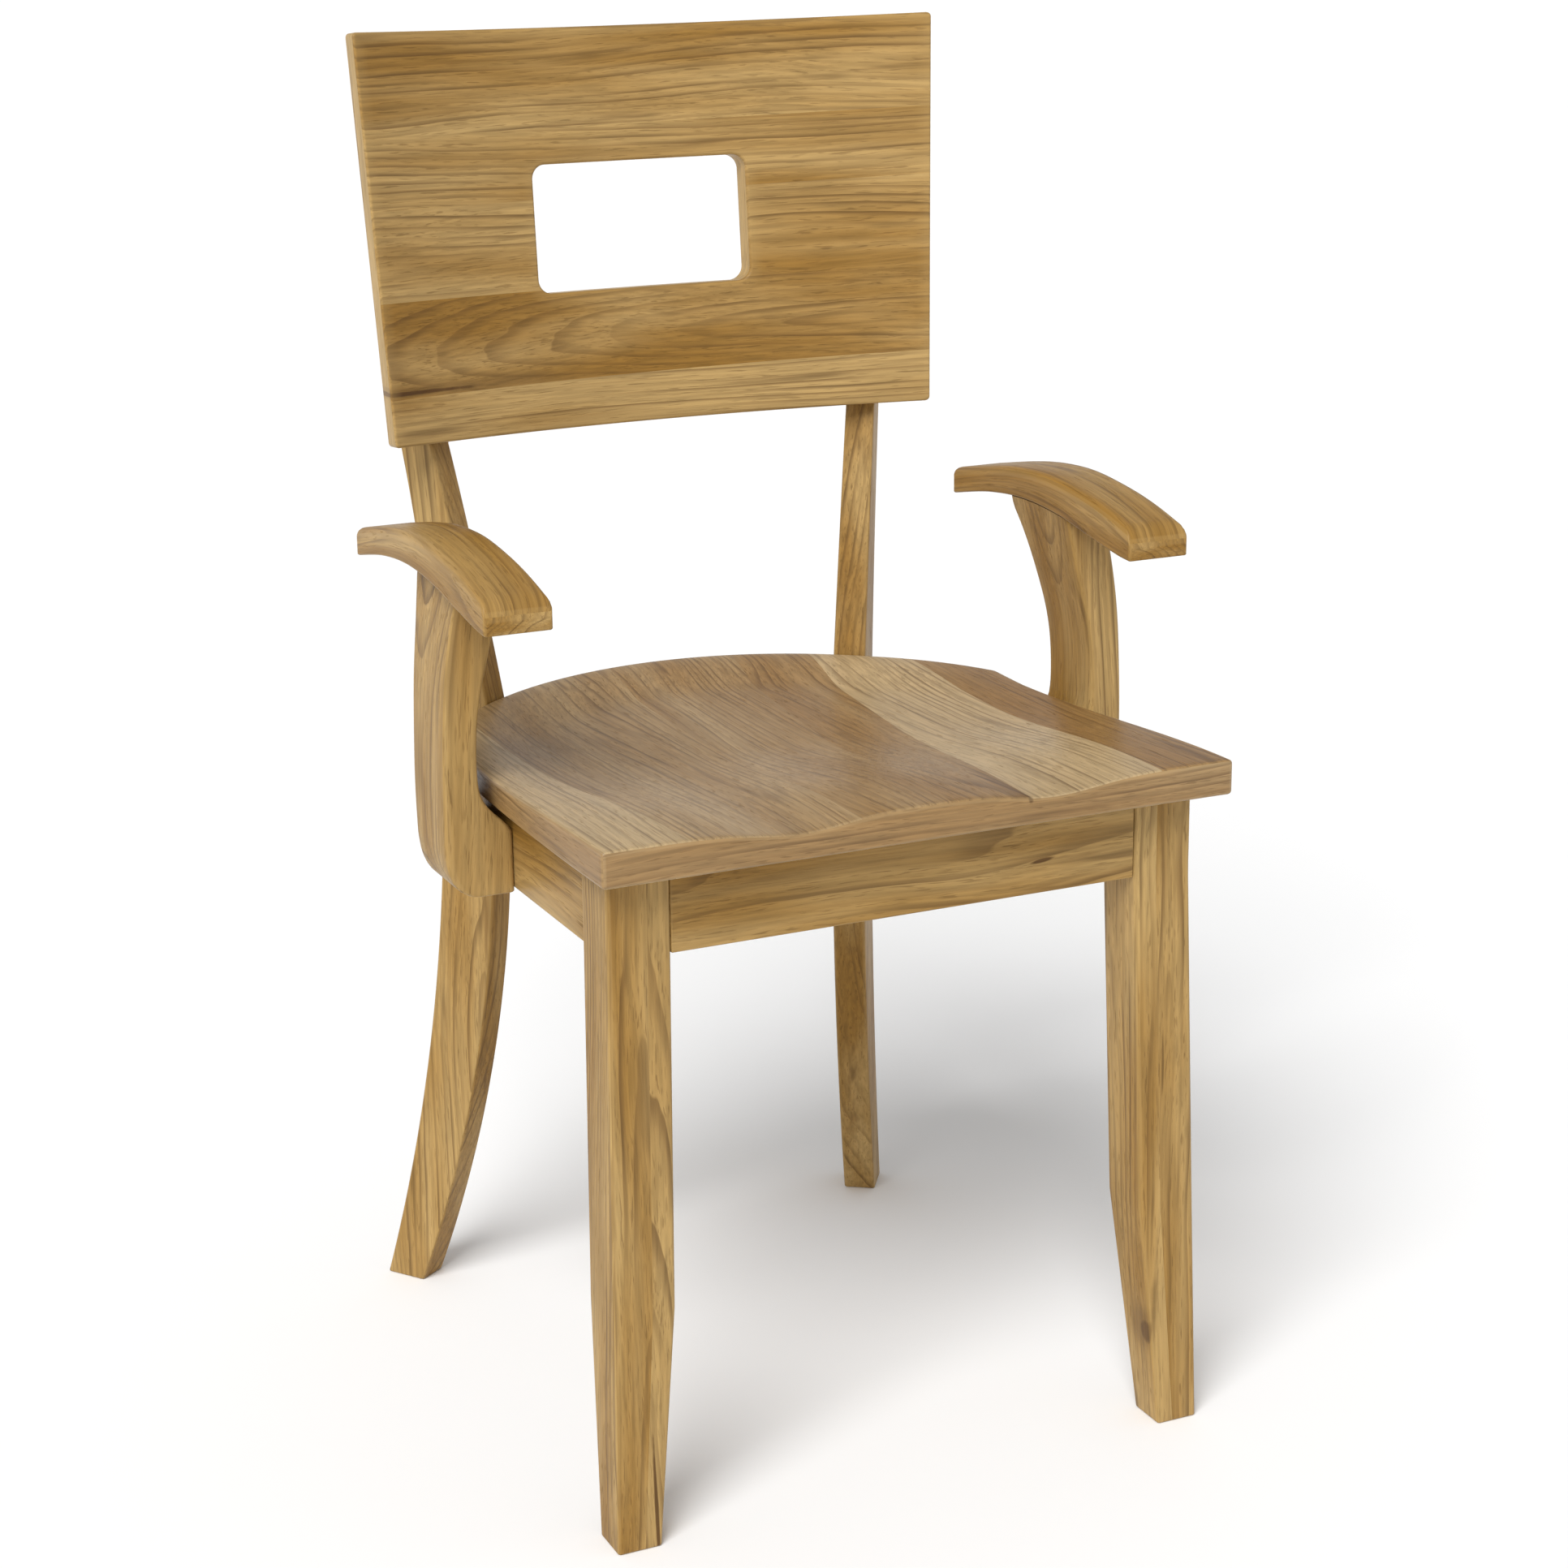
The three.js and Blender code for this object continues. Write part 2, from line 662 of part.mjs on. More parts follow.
// A point on a spoke of the hoop, at a distance from its centre and drifted sideways.
const onSpoke = (side, angle, radius, z, drift = 0) => [
  side * (radius * Math.sin(angle) - drift * Math.cos(angle)),
  hoopCentreDepth + radius * Math.cos(angle) + drift * Math.sin(angle),
  z,
];
const outwards = (side, angle) => [side * Math.sin(angle), Math.cos(angle), 0];
const inwards = (side, angle) => [-side * Math.sin(angle), -Math.cos(angle), 0];

function joinAprons(label, side, i) {
  const dowelStart = 2; // the side dowels sit this far back, clear of the front ones
  rows.forEach(([level, z]) => {
    fasten(
      `front_apron_dowel_${label}_${level}`, dowelShape, dowelLength, dowelWood(),
      [side * legInner, (frontApronFront + frontApronBack) / 2, z], [1, 0, 0],
      [frontLegs[i], frontApron],
    );
    fasten(
      `side_apron_dowel_${label}_${level}`, dowelShape, dowelLength, dowelWood(),
      [side * (sideApronInner + apronThickness / 2), legBack + dowelStart, z], [0, 1, 0],
      [frontLegs[i], sideAprons[i]],
    );
    fasten(
      `post_bolt_${label}_${level}`, boltShape, apronThickness + boltGrip, steel(),
      onSpoke(side, postAngle, hoopInner, z), outwards(side, postAngle),
      [rearApron, rearPosts[i]],
    );
  });
}

function joinArm(label, side, i) {
  const screwAbove = 8; // above the low row
  const dowelInset = 6; // inside the inner face of the support
  const dowelBack = 2; // behind the screws
  const dowelBelow = 2; // the dowel's middle under the arm's underside
  [['front', supportFront + 14], ['rear', supportFront + 38]].forEach(([place, y]) => {
    fasten(
      `support_screw_${label}_${place}`, screwShape, apronThickness + supportGrip, steel(),
      [side * sideApronInner, y, lowRow + screwAbove], [side, 0, 0],
      [sideAprons[i], armSupports[i]],
    );
    const dowelY = y + dowelBack;
    fasten(
      `arm_dowel_${label}_${place}`, dowelShape, armDowelLength, dowelWood(),
      [side * (supportInner - dowelInset), dowelY, heightAt(armUnderside, dowelY) - dowelBelow],
      [0, 0, 1], [armSupports[i], armRests[i]],
    );
  });
}

function joinFrontBlock(label, side, i) {
  const z = blockBottom + blockHeight / 2;
  const headDepth = 14; // from the glued end of the block back to the screw's head
  const length = headDepth + blockGrip;
  fasten(
    `front_block_screw_${label}_front`, screwShape, length, steel(),
    [side * (blockFaceX - blockReach + headDepth), blockFaceY + headDepth, z], [0, -1, 0],
    [frontBlocks[i], frontApron],
  );
  fasten(
    `front_block_screw_${label}_side`, screwShape, length, steel(),
    [side * (blockFaceX - headDepth), blockFaceY + blockReach - headDepth, z], [side, 0, 0],
    [frontBlocks[i], sideAprons[i]],
  );
  const middle = (blockReach + blockCut) / 4; // of the block's slanting length
  const offset = (blockEnd * Math.SQRT1_2) / 4; // towards the open side of the block
  const x = blockFaceX - middle - offset;
  const y = blockFaceY + middle + offset;
  fasten(
    `seat_screw_${label}_front`, screwShape, seatUnderside(y) - blockBottom + seatGripFront, steel(),
    [side * x, y, blockBottom], [0, 0, 1], [frontBlocks[i], seat],
  );
}

function joinRearBlock(label, side, i) {
  const z = blockBottom + blockHeight / 2;
  const sideHead = 3; // how far the heads are sunk into the block
  const rearHead = 1;
  const rearAngle = rearBlockAngle + degToRad(3);
  fasten(
    `rear_block_screw_${label}_side`, screwShape, rearBlockThickness + blockGrip - 1, steel(),
    [side * (blockFaceX - rearBlockThickness + sideHead), rearBlockCorner - 26, z], [side, 0, 0],
    [rearBlocks[i], sideAprons[i]],
  );
  fasten(
    `rear_block_screw_${label}_rear`, screwShape, rearBlockThickness + blockGrip - 1, steel(),
    onSpoke(side, rearAngle, rearBlockBend - rearBlockThickness + rearHead, z),
    outwards(side, rearAngle), [rearBlocks[i], rearApron],
  );
  const y = rearBlockCorner - 8;
  fasten(
    `seat_screw_${label}_rear`, screwShape, seatUnderside(y) - blockBottom + seatGripRear, steel(),
    [side * (blockFaceX - rearBlockThickness / 2), y, blockBottom], [0, 0, 1],
    [rearBlocks[i], seat],
  );
}

function joinPanel(label, side, i) {
  const headSunk = 0.5;
  [['low', 0.35], ['high', 0.8]].forEach(([level, share]) => {
    const z = lerp(postSeat, postHeight, share);
    const head = lerp(postPanelBack, postTopBack, share) - headSunk;
    fasten(
      `panel_screw_${label}_${level}`, screwShape, postPanelDepth + panelGrip, steel(),
      onSpoke(side, postAngle, head, z, postDrift(z)), inwards(side, postAngle),
      [rearPosts[i], panel],
    );
  });
}

sides.forEach(([label, side], i) => {
  joinAprons(label, side, i);
  joinArm(label, side, i);
  joinFrontBlock(label, side, i);
  joinRearBlock(label, side, i);
  joinPanel(label, side, i);
});

// The origin is on the floor, in the middle of the space that the chair takes up.
const extent = new THREE.Box3().setFromObject(frame);
frame.position.y = -(extent.min.y + extent.max.y) / 2;

export default armchair;
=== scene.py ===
# %% [markdown]
# # A wooden armchair, finished in Blender
#
# The packed model gives the chair's pieces at their true size and place. Here each wooden
# piece gets the soft rounded edges and the figured surface that a chair maker gives it.
# Lengths in the shape functions are millimetres, measured in the maker's own frame: x from
# the centre line, y backwards from the seat's front edge, z up from the floor.

# %% Load the packed chair
import math
from random import Random

import bmesh
import bpy
import numpy as np
from mathutils import Matrix, Vector


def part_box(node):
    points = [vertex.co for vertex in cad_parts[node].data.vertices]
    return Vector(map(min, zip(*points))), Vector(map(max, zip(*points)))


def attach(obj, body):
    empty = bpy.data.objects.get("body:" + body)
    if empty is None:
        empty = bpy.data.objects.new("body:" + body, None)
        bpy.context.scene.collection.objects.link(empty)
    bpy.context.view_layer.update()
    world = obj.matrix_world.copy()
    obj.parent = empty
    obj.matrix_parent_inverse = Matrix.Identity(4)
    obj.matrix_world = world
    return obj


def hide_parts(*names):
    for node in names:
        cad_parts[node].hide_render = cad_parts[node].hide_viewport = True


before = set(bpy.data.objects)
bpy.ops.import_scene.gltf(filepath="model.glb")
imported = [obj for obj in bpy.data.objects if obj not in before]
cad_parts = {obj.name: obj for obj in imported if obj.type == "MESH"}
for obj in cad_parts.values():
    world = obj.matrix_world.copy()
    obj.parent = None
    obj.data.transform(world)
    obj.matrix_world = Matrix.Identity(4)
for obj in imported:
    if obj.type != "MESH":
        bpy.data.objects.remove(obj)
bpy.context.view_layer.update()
front_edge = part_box("seat")[0].y
mm = 0.001
print("nodes in the frame:", len(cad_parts))


# %% [markdown]
# ## Camera
#
# A camera is an object that looks along its own -Z axis. Its heading, pitch and roll are
# turned into three axes, which are the columns of its matrix. The lens is long, so
# the chair's uprights stay almost parallel. The shift stays at zero.

# %% Place the camera
heading = math.radians(25.0401)
pitch = math.radians(16.3510)
roll = math.radians(-0.6485)
eye = Vector((-0.878162, front_edge - 1.666396, 1.036155))

forward = Vector((
    math.sin(heading) * math.cos(pitch),
    math.cos(heading) * math.cos(pitch),
    -math.sin(pitch),
))
level_right = Vector((math.cos(heading), -math.sin(heading), 0))
level_up = level_right.cross(forward)
right = math.cos(roll) * level_right + math.sin(roll) * level_up
up = math.cos(roll) * level_up - math.sin(roll) * level_right

camera = bpy.data.objects.new("camera", bpy.data.cameras.new("camera"))
bpy.context.scene.collection.objects.link(camera)
bpy.context.scene.camera = camera
camera.data.sensor_width = 36
camera.data.lens = 73.7226
axes = Matrix((right, up, -forward)).transposed().to_4x4()
camera.matrix_world = Matrix.Translation(eye) @ axes
print("camera looks down by", round(math.degrees(pitch), 2), "degrees")


# %% [markdown]
# ## Sizes
#
# The shapes below follow the same rules as the packed model, so they need the same driving
# sizes. What can be read from the frame is read from the frame: `size_of` gives the corners
# of a packed piece in the maker's frame.

# %% Sizes shared by several pieces
def size_of(node):
    low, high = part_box(node)
    move = Vector((0, front_edge, 0))
    return (low - move) / mm, (high - move) / mm


gap = 0.3
seat_high = size_of("seat")[1]
half_width = seat_high.x
seat_height = seat_high.z
seat_depth = seat_high.y
seat_edge = 23.2
seat_underside_fall = 5
hoop_centre = 193.8
seat_rear_radius = seat_depth - hoop_centre
hoop_radius = seat_rear_radius + gap
apron_bottom = size_of("front_apron")[0].z
apron_thickness = 19
print("seat", round(2 * half_width, 1), "wide", round(seat_depth, 1), "deep", round(seat_height, 1), "high")


# %% [markdown]
# ## Small mathematical helpers
#
# `lerp` mixes two numbers and `smooth` eases between 0 and 1. `curve_through` gives points
# on a Catmull-Rom curve, which passes through each point that it is given, and `read`
# reads one coordinate of such a curve from the other.

# %% Helpers
def lerp(a, b, t):
    return a + (b - a) * t


def smooth(t):
    s = min(1.0, max(0.0, t))
    return s * s * (3 - 2 * s)


def curve_through(points, samples=24):
    path = []
    last = len(points) - 1
    for i in range(last):
        before, here = points[max(i - 1, 0)], points[i]
        there, after = points[i + 1], points[min(i + 2, last)]
        for step in range(samples):
            t = step / samples
            place = []
            for p, q, r, s in zip(before, here, there, after):
                leave, arrive = (r - p) / 2, (s - q) / 2
                cubic = 2 * q - 2 * r + leave + arrive
                square = -3 * q + 3 * r - 2 * leave - arrive
                place.append(((cubic * t + square) * t + leave) * t + q)
            path.append(place)
    path.append(list(points[last]))
    return np.array(path)


def bend(start, pull, end, samples=40):
    """Points of a quadratic curve from start to end, drawn towards pull."""
    t = np.linspace(0, 1, samples)[:, None]
    start, pull, end = (np.array(p, float) for p in (start, pull, end))
    return (1 - t) ** 2 * start + 2 * t * (1 - t) * pull + t ** 2 * end


def read(path, value, known=1, wanted=0):
    """The wanted coordinate of a path where its known coordinate has a value."""
    order = np.argsort(path[:, known])
    return float(np.interp(value, path[order, known], path[order, wanted]))


print("a curve through three points has", len(curve_through([(0, 0), (1, 1), (2, 0)])), "samples")


# %% [markdown]
# ## A block with rounded edges
#
# Most of the pieces are sawn from a plank and then eased along every edge. The surface of
# a box is laid out as a grid, with its lines close together near the edges. Points in the
# edge bands are pulled in onto a quarter circle, and then a `place` function bends the
# whole block into its real shape. A grid keeps the shading even, which a bevel on a long
# plain face would not.
#
# Each face corner also stores where it lies in the tree: `grain` holds metres along the
# grain, across it and through it, and `board` holds the tone of the board. A front leg is
# glued from two strips, and their seam lies on one of the grid lines, so it is crisp.

# %% Rounded block
ROUNDING = (0, 0.2, 0.45, 0.72, 1)  # where the grid lines fall across an edge band


def grid_lines(length, low, high, count, extra=()):
    """Distances of the grid lines along one side, with edge bands low and high wide."""
    start = [low * r for r in ROUNDING] if low else [0]
    end = [length - high * r for r in reversed(ROUNDING)] if high else [length]
    step = (end[0] - start[-1]) / count
    inner = [start[-1] + step * i for i in range(1, count)]
    for line in extra:
        inner = [x for x in inner if abs(x - line) > 0.4 * step] + [line]
    return start + sorted(inner) + end


def rounded(point, lengths, bands):
    """Pulls a point of a box's surface in onto the quarter circles of its edges."""
    inner, over = [], []
    for p, length, (low, high) in zip(point, lengths, bands):
        if low and p < low:
            inner.append(low)
            over.append((p - low) / low)
        elif high and p > length - high:
            inner.append(length - high)
            over.append((p - length + high) / high)
        else:
            inner.append(p)
            over.append(0.0)
    size = math.sqrt(sum(o * o for o in over))
    if size == 0:
        return point, 0.0
    most = max(abs(o) for o in over)
    moved = []
    for q, o, (low, high) in zip(inner, over, bands):
        moved.append(q + most * o / size * (low if o < 0 else high))
    bands_met = sum(abs(o) > 0.02 for o in over)
    # The second value marks the rounded edge bands, which the wood paints lighter as a painted highlight.
    return moved, 1.0 if bands_met > 1 else 0.0


def rounded_block(lengths, bands, strips, place, extra=((), (), ())):
    """Vertices, faces with the side that each lies on, and each vertex's fractions."""
    rules = zip(lengths, bands, strips, extra)
    lines = [grid_lines(length, *band, count, more) for length, band, count, more in rules]
    counts = [len(line) - 1 for line in lines]
    index, vertices, fractions, edges = {}, [], [], []

    def vertex(key):
        if key not in index:
            index[key] = len(vertices)
            point = [line[i] for line, i in zip(lines, key)]
            moved, edge = rounded(point, lengths, bands)
            part = [m / length for m, length in zip(moved, lengths)]
            vertices.append(place(*part))
            fractions.append(part)
            edges.append(edge)
        return index[key]

    faces, sides = [], []
    for axis in range(3):
        a, b = [k for k in range(3) if k != axis]
        for end in (0, 1):
            for i in range(counts[a]):
                for j in range(counts[b]):
                    corners = []
                    for di, dj in ((0, 0), (1, 0), (1, 1), (0, 1)):
                        key = [0, 0, 0]
                        key[axis] = counts[axis] * end
                        key[a], key[b] = i + di, j + dj
                        corners.append(vertex(tuple(key)))
                    faces.append(corners)
                    sides.append((axis, end))
    return vertices, faces, sides, fractions, edges


print("grid lines across 100 mm:", [round(x, 1) for x in grid_lines(100, 3, 3, 4)])


# %% [markdown] ## From numbers to a mesh object  `make_piece` turns lists into a mesh,
# points every face outwards, stores the grain and rides the piece on the chair's only
# body.

# %% Make a finished piece
PLANK_SHIFT = (9, 0.012, 0.006)  # metres along the tree, across it and through it


def make_piece(node, shape, grain, boards=None, tone=0.5, shifted=True):
    vertices, faces, sides, fractions, edges = shape
    mesh = bpy.data.meshes.new(node + "_finished")
    places = [(x * mm, y * mm + front_edge, z * mm) for x, y, z in vertices]
    mesh.from_pydata(places, [], faces)
    grains, tones, edge_values = [], [], []
    for face, side in zip(faces, sides):
        middle = [sum(fractions[v][k] for v in face) / len(face) for k in range(3)]
        number, board_tone = boards(middle, side) if boards else (0, tone)
        dice = Random(f"{node}{number}{side[0]}")
        along, across, through = PLANK_SHIFT
        start = (dice.uniform(0, along), dice.uniform(-across, across), dice.uniform(-through, through))
        if not shifted:
            start = (0, 0, 0)
        for v in face:
            point = grain(vertices[v], fractions[v], side, number)
            grains.extend(c * mm + s for c, s in zip(point, start))
            tones.append(board_tone)
            edge_values.append(edges[v])
    for name, kind, field, values in (
        ("grain", "FLOAT_VECTOR", "vector", grains),
        ("board", "FLOAT", "value", tones),
        ("edge", "FLOAT", "value", edge_values),
    ):
        mesh.attributes.new(name, kind, "CORNER").data.foreach_set(field, values)
    body = bmesh.new()
    body.from_mesh(mesh)
    bmesh.ops.recalc_face_normals(body, faces=body.faces)
    body.to_mesh(mesh)
    body.free()
    mesh.shade_smooth()
    mesh.set_sharp_from_angle(angle=math.radians(50))
    piece = bpy.data.objects.new(node + "_finished", mesh)
    bpy.context.scene.collection.objects.link(piece)
    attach(piece, "root")
    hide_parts(node)
    low, high = size_of(node)
    new = np.array(vertices)
    off = max(abs(new.min(0) - low).max(), abs(new.max(0) - high).max())
    print(node, len(faces), "faces, box within", round(float(off), 2), "mm of the packed piece")
    finished[node] = piece


def sawn(axes, heart, lean, mirrored=True):
    """Grain along the first axis, with the heart of the tree at a place on the other two."""
    def grain(point, part, side, number):
        p = (abs(point[0]) if mirrored else point[0], point[1], point[2])
        along = p[axes[0]]
        return along, p[axes[1]] - heart[0], p[axes[2]] - heart[1] + lean * along

    return grain


sides_of_chair = (("left", -1), ("right", 1))
finished = {}
print("paired pieces stand on the", " and the ".join(label for label, _ in sides_of_chair))


# %% [markdown]
# ## Seat
#
# The seat is glued up from boards that run front to back, and then carved: two hollows
# for the thighs run in from the front and join in one bowl, with a rim round the back. A
# formula gives the height of the carved top at every point, so the grid follows it exactly.
# Its material cuts the boards apart further on.

# %% Carve the seat
# The seat's edges are set warm so they keep the wood's own colour, while the paler seat palette on its top is
# a painted sheen.
SEAT_EDGE_TONE = 0.72


def seat_rear(x):
    return hoop_centre + math.sqrt(seat_rear_radius ** 2 - x ** 2)


def seat_underside(y):
    return seat_height - seat_edge - seat_underside_fall * y / seat_depth


def seat_rim(x, y):
    fall_length, fall, rise = 230, 8.5, 2
    middle = max(0.0, 1 - (x / (half_width * 2 / 3)) ** 2)
    risen = rise * middle * smooth((y - fall_length) / (seat_depth - fall_length))
    return seat_height - fall * smooth(y / fall_length) + risen


def saddle(x, y):
    spread, hollow_width, front_depth, full_depth = 88, 42, 6.5, 10
    bowl_start, bowl_run, rim, side_run, rear_run = 60, 170, 5, 85, 62
    hollow = math.exp(-(((abs(x) - spread) / hollow_width) ** 2))
    from_rear = seat_rear_radius - math.hypot(x, max(0.0, y - hoop_centre))
    from_side = half_width - abs(x)
    bowl = smooth((y - bowl_start) / bowl_run) * smooth((from_side - rim) / side_run)
    depth = lerp(front_depth * hollow, full_depth, bowl)
    return depth * smooth((from_rear - rim) / rear_run)


def seat_place(u, v, w):
    across = 2 * u - 1
    y = v * seat_rear(across * half_width)
    narrowing, narrow_length, most, ease_length = 6.5, 225, 1.3, 200
    draw = narrowing * min(most, (y / narrow_length) ** 2) * smooth((seat_depth - y) / ease_length)
    x = across * (half_width - draw)
    top = seat_rim(x, y) - saddle(x, y)
    return x, y, lerp(seat_underside(y), top, w)


def seat_board(middle, side):
    """The edges of the seat are warmer than its first board, the faces follow the boards."""
    return (0, 0.0) if side[0] == 2 else (1, SEAT_EDGE_TONE)


def seat_grain(point, part, side, number):
    x, y, z = point
    if side[0] == 2:
        return y, x, z - seat_height
    along = x if side[0] == 1 else y  # the edges show long grain of their own
    start, heart, lean = 300, 400, 0.03
    return along + start, z - seat_height - heart, lean * along


seat_sizes = (2 * half_width, seat_depth, seat_edge)
seat_shape = rounded_block(seat_sizes, ((3, 3), (3, 3), (2.5, 3)), (72, 74, 3), seat_place)
make_piece("seat", seat_shape, seat_grain, boards=seat_board, shifted=False)


# %% [markdown]
# ## Front legs
#
# Each front leg is a square post that leans out and forwards a little. Its outer and front
# faces run straight down, and the two faces that look inwards taper below a hand's height.

# %% Front legs
leg_size = 41.6
leg_outer = half_width - 13.1
leg_setback = 27.7
leg_foot = 30
leg_taper_height = 160
leg_top = seat_underside(leg_setback + leg_size) - gap
leg_splay = 0.022
leg_rake = 0.03
leg_strip = 0.38  # the share of a leg's width that is glued on as a paler strip
leg_heart = (leg_outer - 16, leg_setback - 12)


def leg_shape(side):
    def place(u, v, w):
        z = w * leg_top
        below = max(0.0, apron_bottom - z)
        size = lerp(leg_foot, leg_size, min(1.0, z / leg_taper_height))
        x = leg_outer + leg_splay * below - size * (1 - u)
        y = leg_setback - leg_rake * below + size * v
        return side * x, y, z

    extra = ([leg_strip * leg_size], (), [leg_taper_height])
    bands = ((3, 3), (3, 3), (1.5, 0))
    return rounded_block((leg_size, leg_size, leg_top), bands, (3, 3, 44), place, extra)


def leg_board(middle, side):
    return (1, 0.3) if middle[0] < leg_strip else (0, 0.5)


for label, side in sides_of_chair:
    grain = sawn((2, 0, 1), leg_heart, 0.03 if side < 0 else -0.02)
    make_piece(f"front_leg_{label}", leg_shape(side), grain, boards=leg_board)


# %% [markdown]
# ## Aprons
#
# Four boards tie the legs together under the seat. The front and side aprons are straight,
# and the rear one is bent to the round back of the seat, so its grain follows the bend.

# %% Aprons
def board_between(low, high, top, band=1.5, counts=(24, 2, 5)):
    def place(u, v, w):
        y = lerp(low.y, high.y, v)
        return lerp(low.x, high.x, u), y, lerp(low.z, top(y), w)

    return rounded_block(high - low, ((band, band),) * 3, counts, place)


low, high = size_of("front_apron")
shape = board_between(low, high, lambda y: high.z)
make_piece("front_apron", shape, sawn((0, 2, 1), (432, -22), 0.03, mirrored=False))
for label, side in sides_of_chair:
    low, high = size_of(f"side_apron_{label}")
    shape = board_between(low, high, lambda y: seat_underside(y) - gap, counts=(2, 24, 5))
    make_piece(f"side_apron_{label}", shape, sawn((1, 2, 0), (400, 170), 0.03), tone=0.55)


rear_apron_joint = size_of("side_apron_left")[1].y + gap
rear_apron_length = 460
rear_apron_height = 52


def rear_apron_place(u, v, w):
    radius = lerp(hoop_radius - gap - apron_thickness, hoop_radius - gap, v)
    reach = math.acos((rear_apron_joint - hoop_centre) / radius)
    angle = reach * (2 * u - 1)
    z = lerp(apron_bottom, seat_underside(seat_depth) - gap, w)
    return radius * math.sin(angle), hoop_centre + radius * math.cos(angle), z


def rear_apron_grain(point, part, side, number):
    angle = math.atan2(point[0], point[1] - hoop_centre)
    heart_height, heart_depth = 400, 30
    return angle * hoop_radius, point[2] - heart_height, heart_depth + part[1] * apron_thickness


rear_sizes = (rear_apron_length, apron_thickness, rear_apron_height)
rear_shape = rounded_block(rear_sizes, ((1.5, 1.5),) * 3, (60, 2, 5), rear_apron_place)
make_piece("rear_apron", rear_shape, rear_apron_grain)


# %% [markdown]
# ## Back panel
#
# The back is one bowed board with a hand hole. A board with a hole through it is a ring,
# so it is made as one: a loop of points runs round the hole, and for each of them a second
# loop runs round the wood, through the hole's wall, over the front face to the outer edge
# and back behind. Every edge gets its round-over from the same two offset rules.

# %% Outlines of the panel and its hole
panel_lean = math.radians(5.07)
panel_height = 275
panel_thickness = 18
panel_radius = 550
panel_flare = 10.9
panel_bottom = seat_height + 171.5
post_angle = math.radians(34.5)
post_panel_radius = hoop_radius + 38.6
post_panel_x = post_panel_radius * math.sin(post_angle)
panel_half = post_panel_x + 44.9
window_half = 80.7
window_low = 94.4
window_high = window_low + 88.3
window_corner = 10
panel_corner = 3


def panel_bow(x):
    return panel_radius - math.sqrt(panel_radius ** 2 - x ** 2)


post_panel_y = hoop_centre + post_panel_radius * math.cos(post_angle)
panel_depth = post_panel_y + panel_bow(post_panel_x) - panel_thickness - 1.5


def stretch(count, start, end):
    return [lerp(start, end, i / count) for i in range(count)]


def ring_of_pairs():
    """For each point round the hole: its place, its way out, and the same on the edge."""
    pairs = []
    middle = (window_low + window_high) / 2
    half = (window_high - window_low) / 2
    flat_x, flat_h = window_half - window_corner, half - window_corner
    quarters = ((1, 1), (-1, 1), (-1, -1), (1, -1))
    for sx, sh in quarters:
        outer_x = panel_half
        outer_h = panel_height - middle if sh > 0 else middle
        run = []
        for h in stretch(6, 0, flat_h):
            run.append(((window_half, h), (1, 0), (outer_x, h), (1, 0)))
        corner = []
        for h in stretch(9, flat_h, outer_h - panel_corner):
            corner.append(((outer_x, h), (1, 0)))
        for i in range(5):
            angle = math.pi / 8 * i
            out = (math.cos(angle), math.sin(angle))
            x = outer_x - panel_corner * (1 - out[0])
            corner.append(((x, outer_h - panel_corner * (1 - out[1])), out))
        for x in stretch(14, outer_x - panel_corner, flat_x)[1:]:
            corner.append(((x, outer_h), (0, 1)))
        for i, (place, out) in enumerate(corner):
            angle = math.pi / 2 * i / len(corner)
            inner_out = (math.cos(angle), math.sin(angle))
            inner = (flat_x + window_corner * inner_out[0], flat_h + window_corner * inner_out[1])
            run.append((inner, inner_out, place, out))
        for x in stretch(12, flat_x, 0):
            run.append(((x, half), (0, 1), (x, outer_h), (0, 1)))
        signed = [tuple((sx * a, sh * b) for a, b in item) for item in run]
        if sx * sh < 0:
            signed = [tuple(item) for item in reversed(signed)]
            last = ((0, sh * half), (0, sh), (0, sh * outer_h), (0, sh))
            first = ((sx * window_half, 0), (sx, 0), (sx * outer_x, 0), (sx, 0))
            signed = [last] + [item for item in signed if item[0] not in (first[0], last[0])]
        pairs.extend(signed)
    return pairs, middle


panel_pairs, window_middle = ring_of_pairs()
print("points round the hole:", len(panel_pairs))


# %% [markdown]
# ## The panel's section
#
# The loop round the wood starts in the hole's wall, turns over its eased edge, crosses the
# front, turns over the outer edge and comes back behind. Sawn veneer on a bent form or a
# thick plank hollowed with a plane would both give this board; either way it is as thick in
# the middle as at its ends, so one section serves all the way round.

# %% Build the panel
def panel_section():
    """The loop round the wood: how far from the hole or the edge, how deep, which face."""
    r, deep = 2.2, panel_thickness
    turns = [math.pi / 2 * t for t in (0.15, 0.35, 0.6, 0.82)]
    eased = [(r * (1 - math.cos(a)), r * (1 - math.sin(a))) for a in turns]
    across = (0, 0.06, 0.17, 0.3, 0.43, 0.57, 0.7, 0.83, 0.94, 1)
    section = [("hole", 0, deep / 2, "hole"), ("hole", 0, r, "hole")]
    section += [("hole", out, down, "front") for out, down in eased]
    section += [("across", t, 0, "front") for t in across]
    section += [("edge", out, down, "front") for out, down in reversed(eased)]
    section += [("edge", 0, down, "edge") for down in (r, deep / 2, deep - r)]
    section += [("edge", out, deep - down, "back") for out, down in eased]
    section += [("across", t, deep, "back") for t in reversed(across)]
    section += [("hole", out, deep - down, "back") for out, down in reversed(eased)]
    section += [("hole", 0, deep - r, "hole")]
    return section, r


def panel_place(x, h, deep):
    y = deep - panel_bow(x)
    back = panel_depth + y * math.cos(panel_lean) + h * math.sin(panel_lean)
    return x, back, panel_bottom - y * math.sin(panel_lean) + h * math.cos(panel_lean)


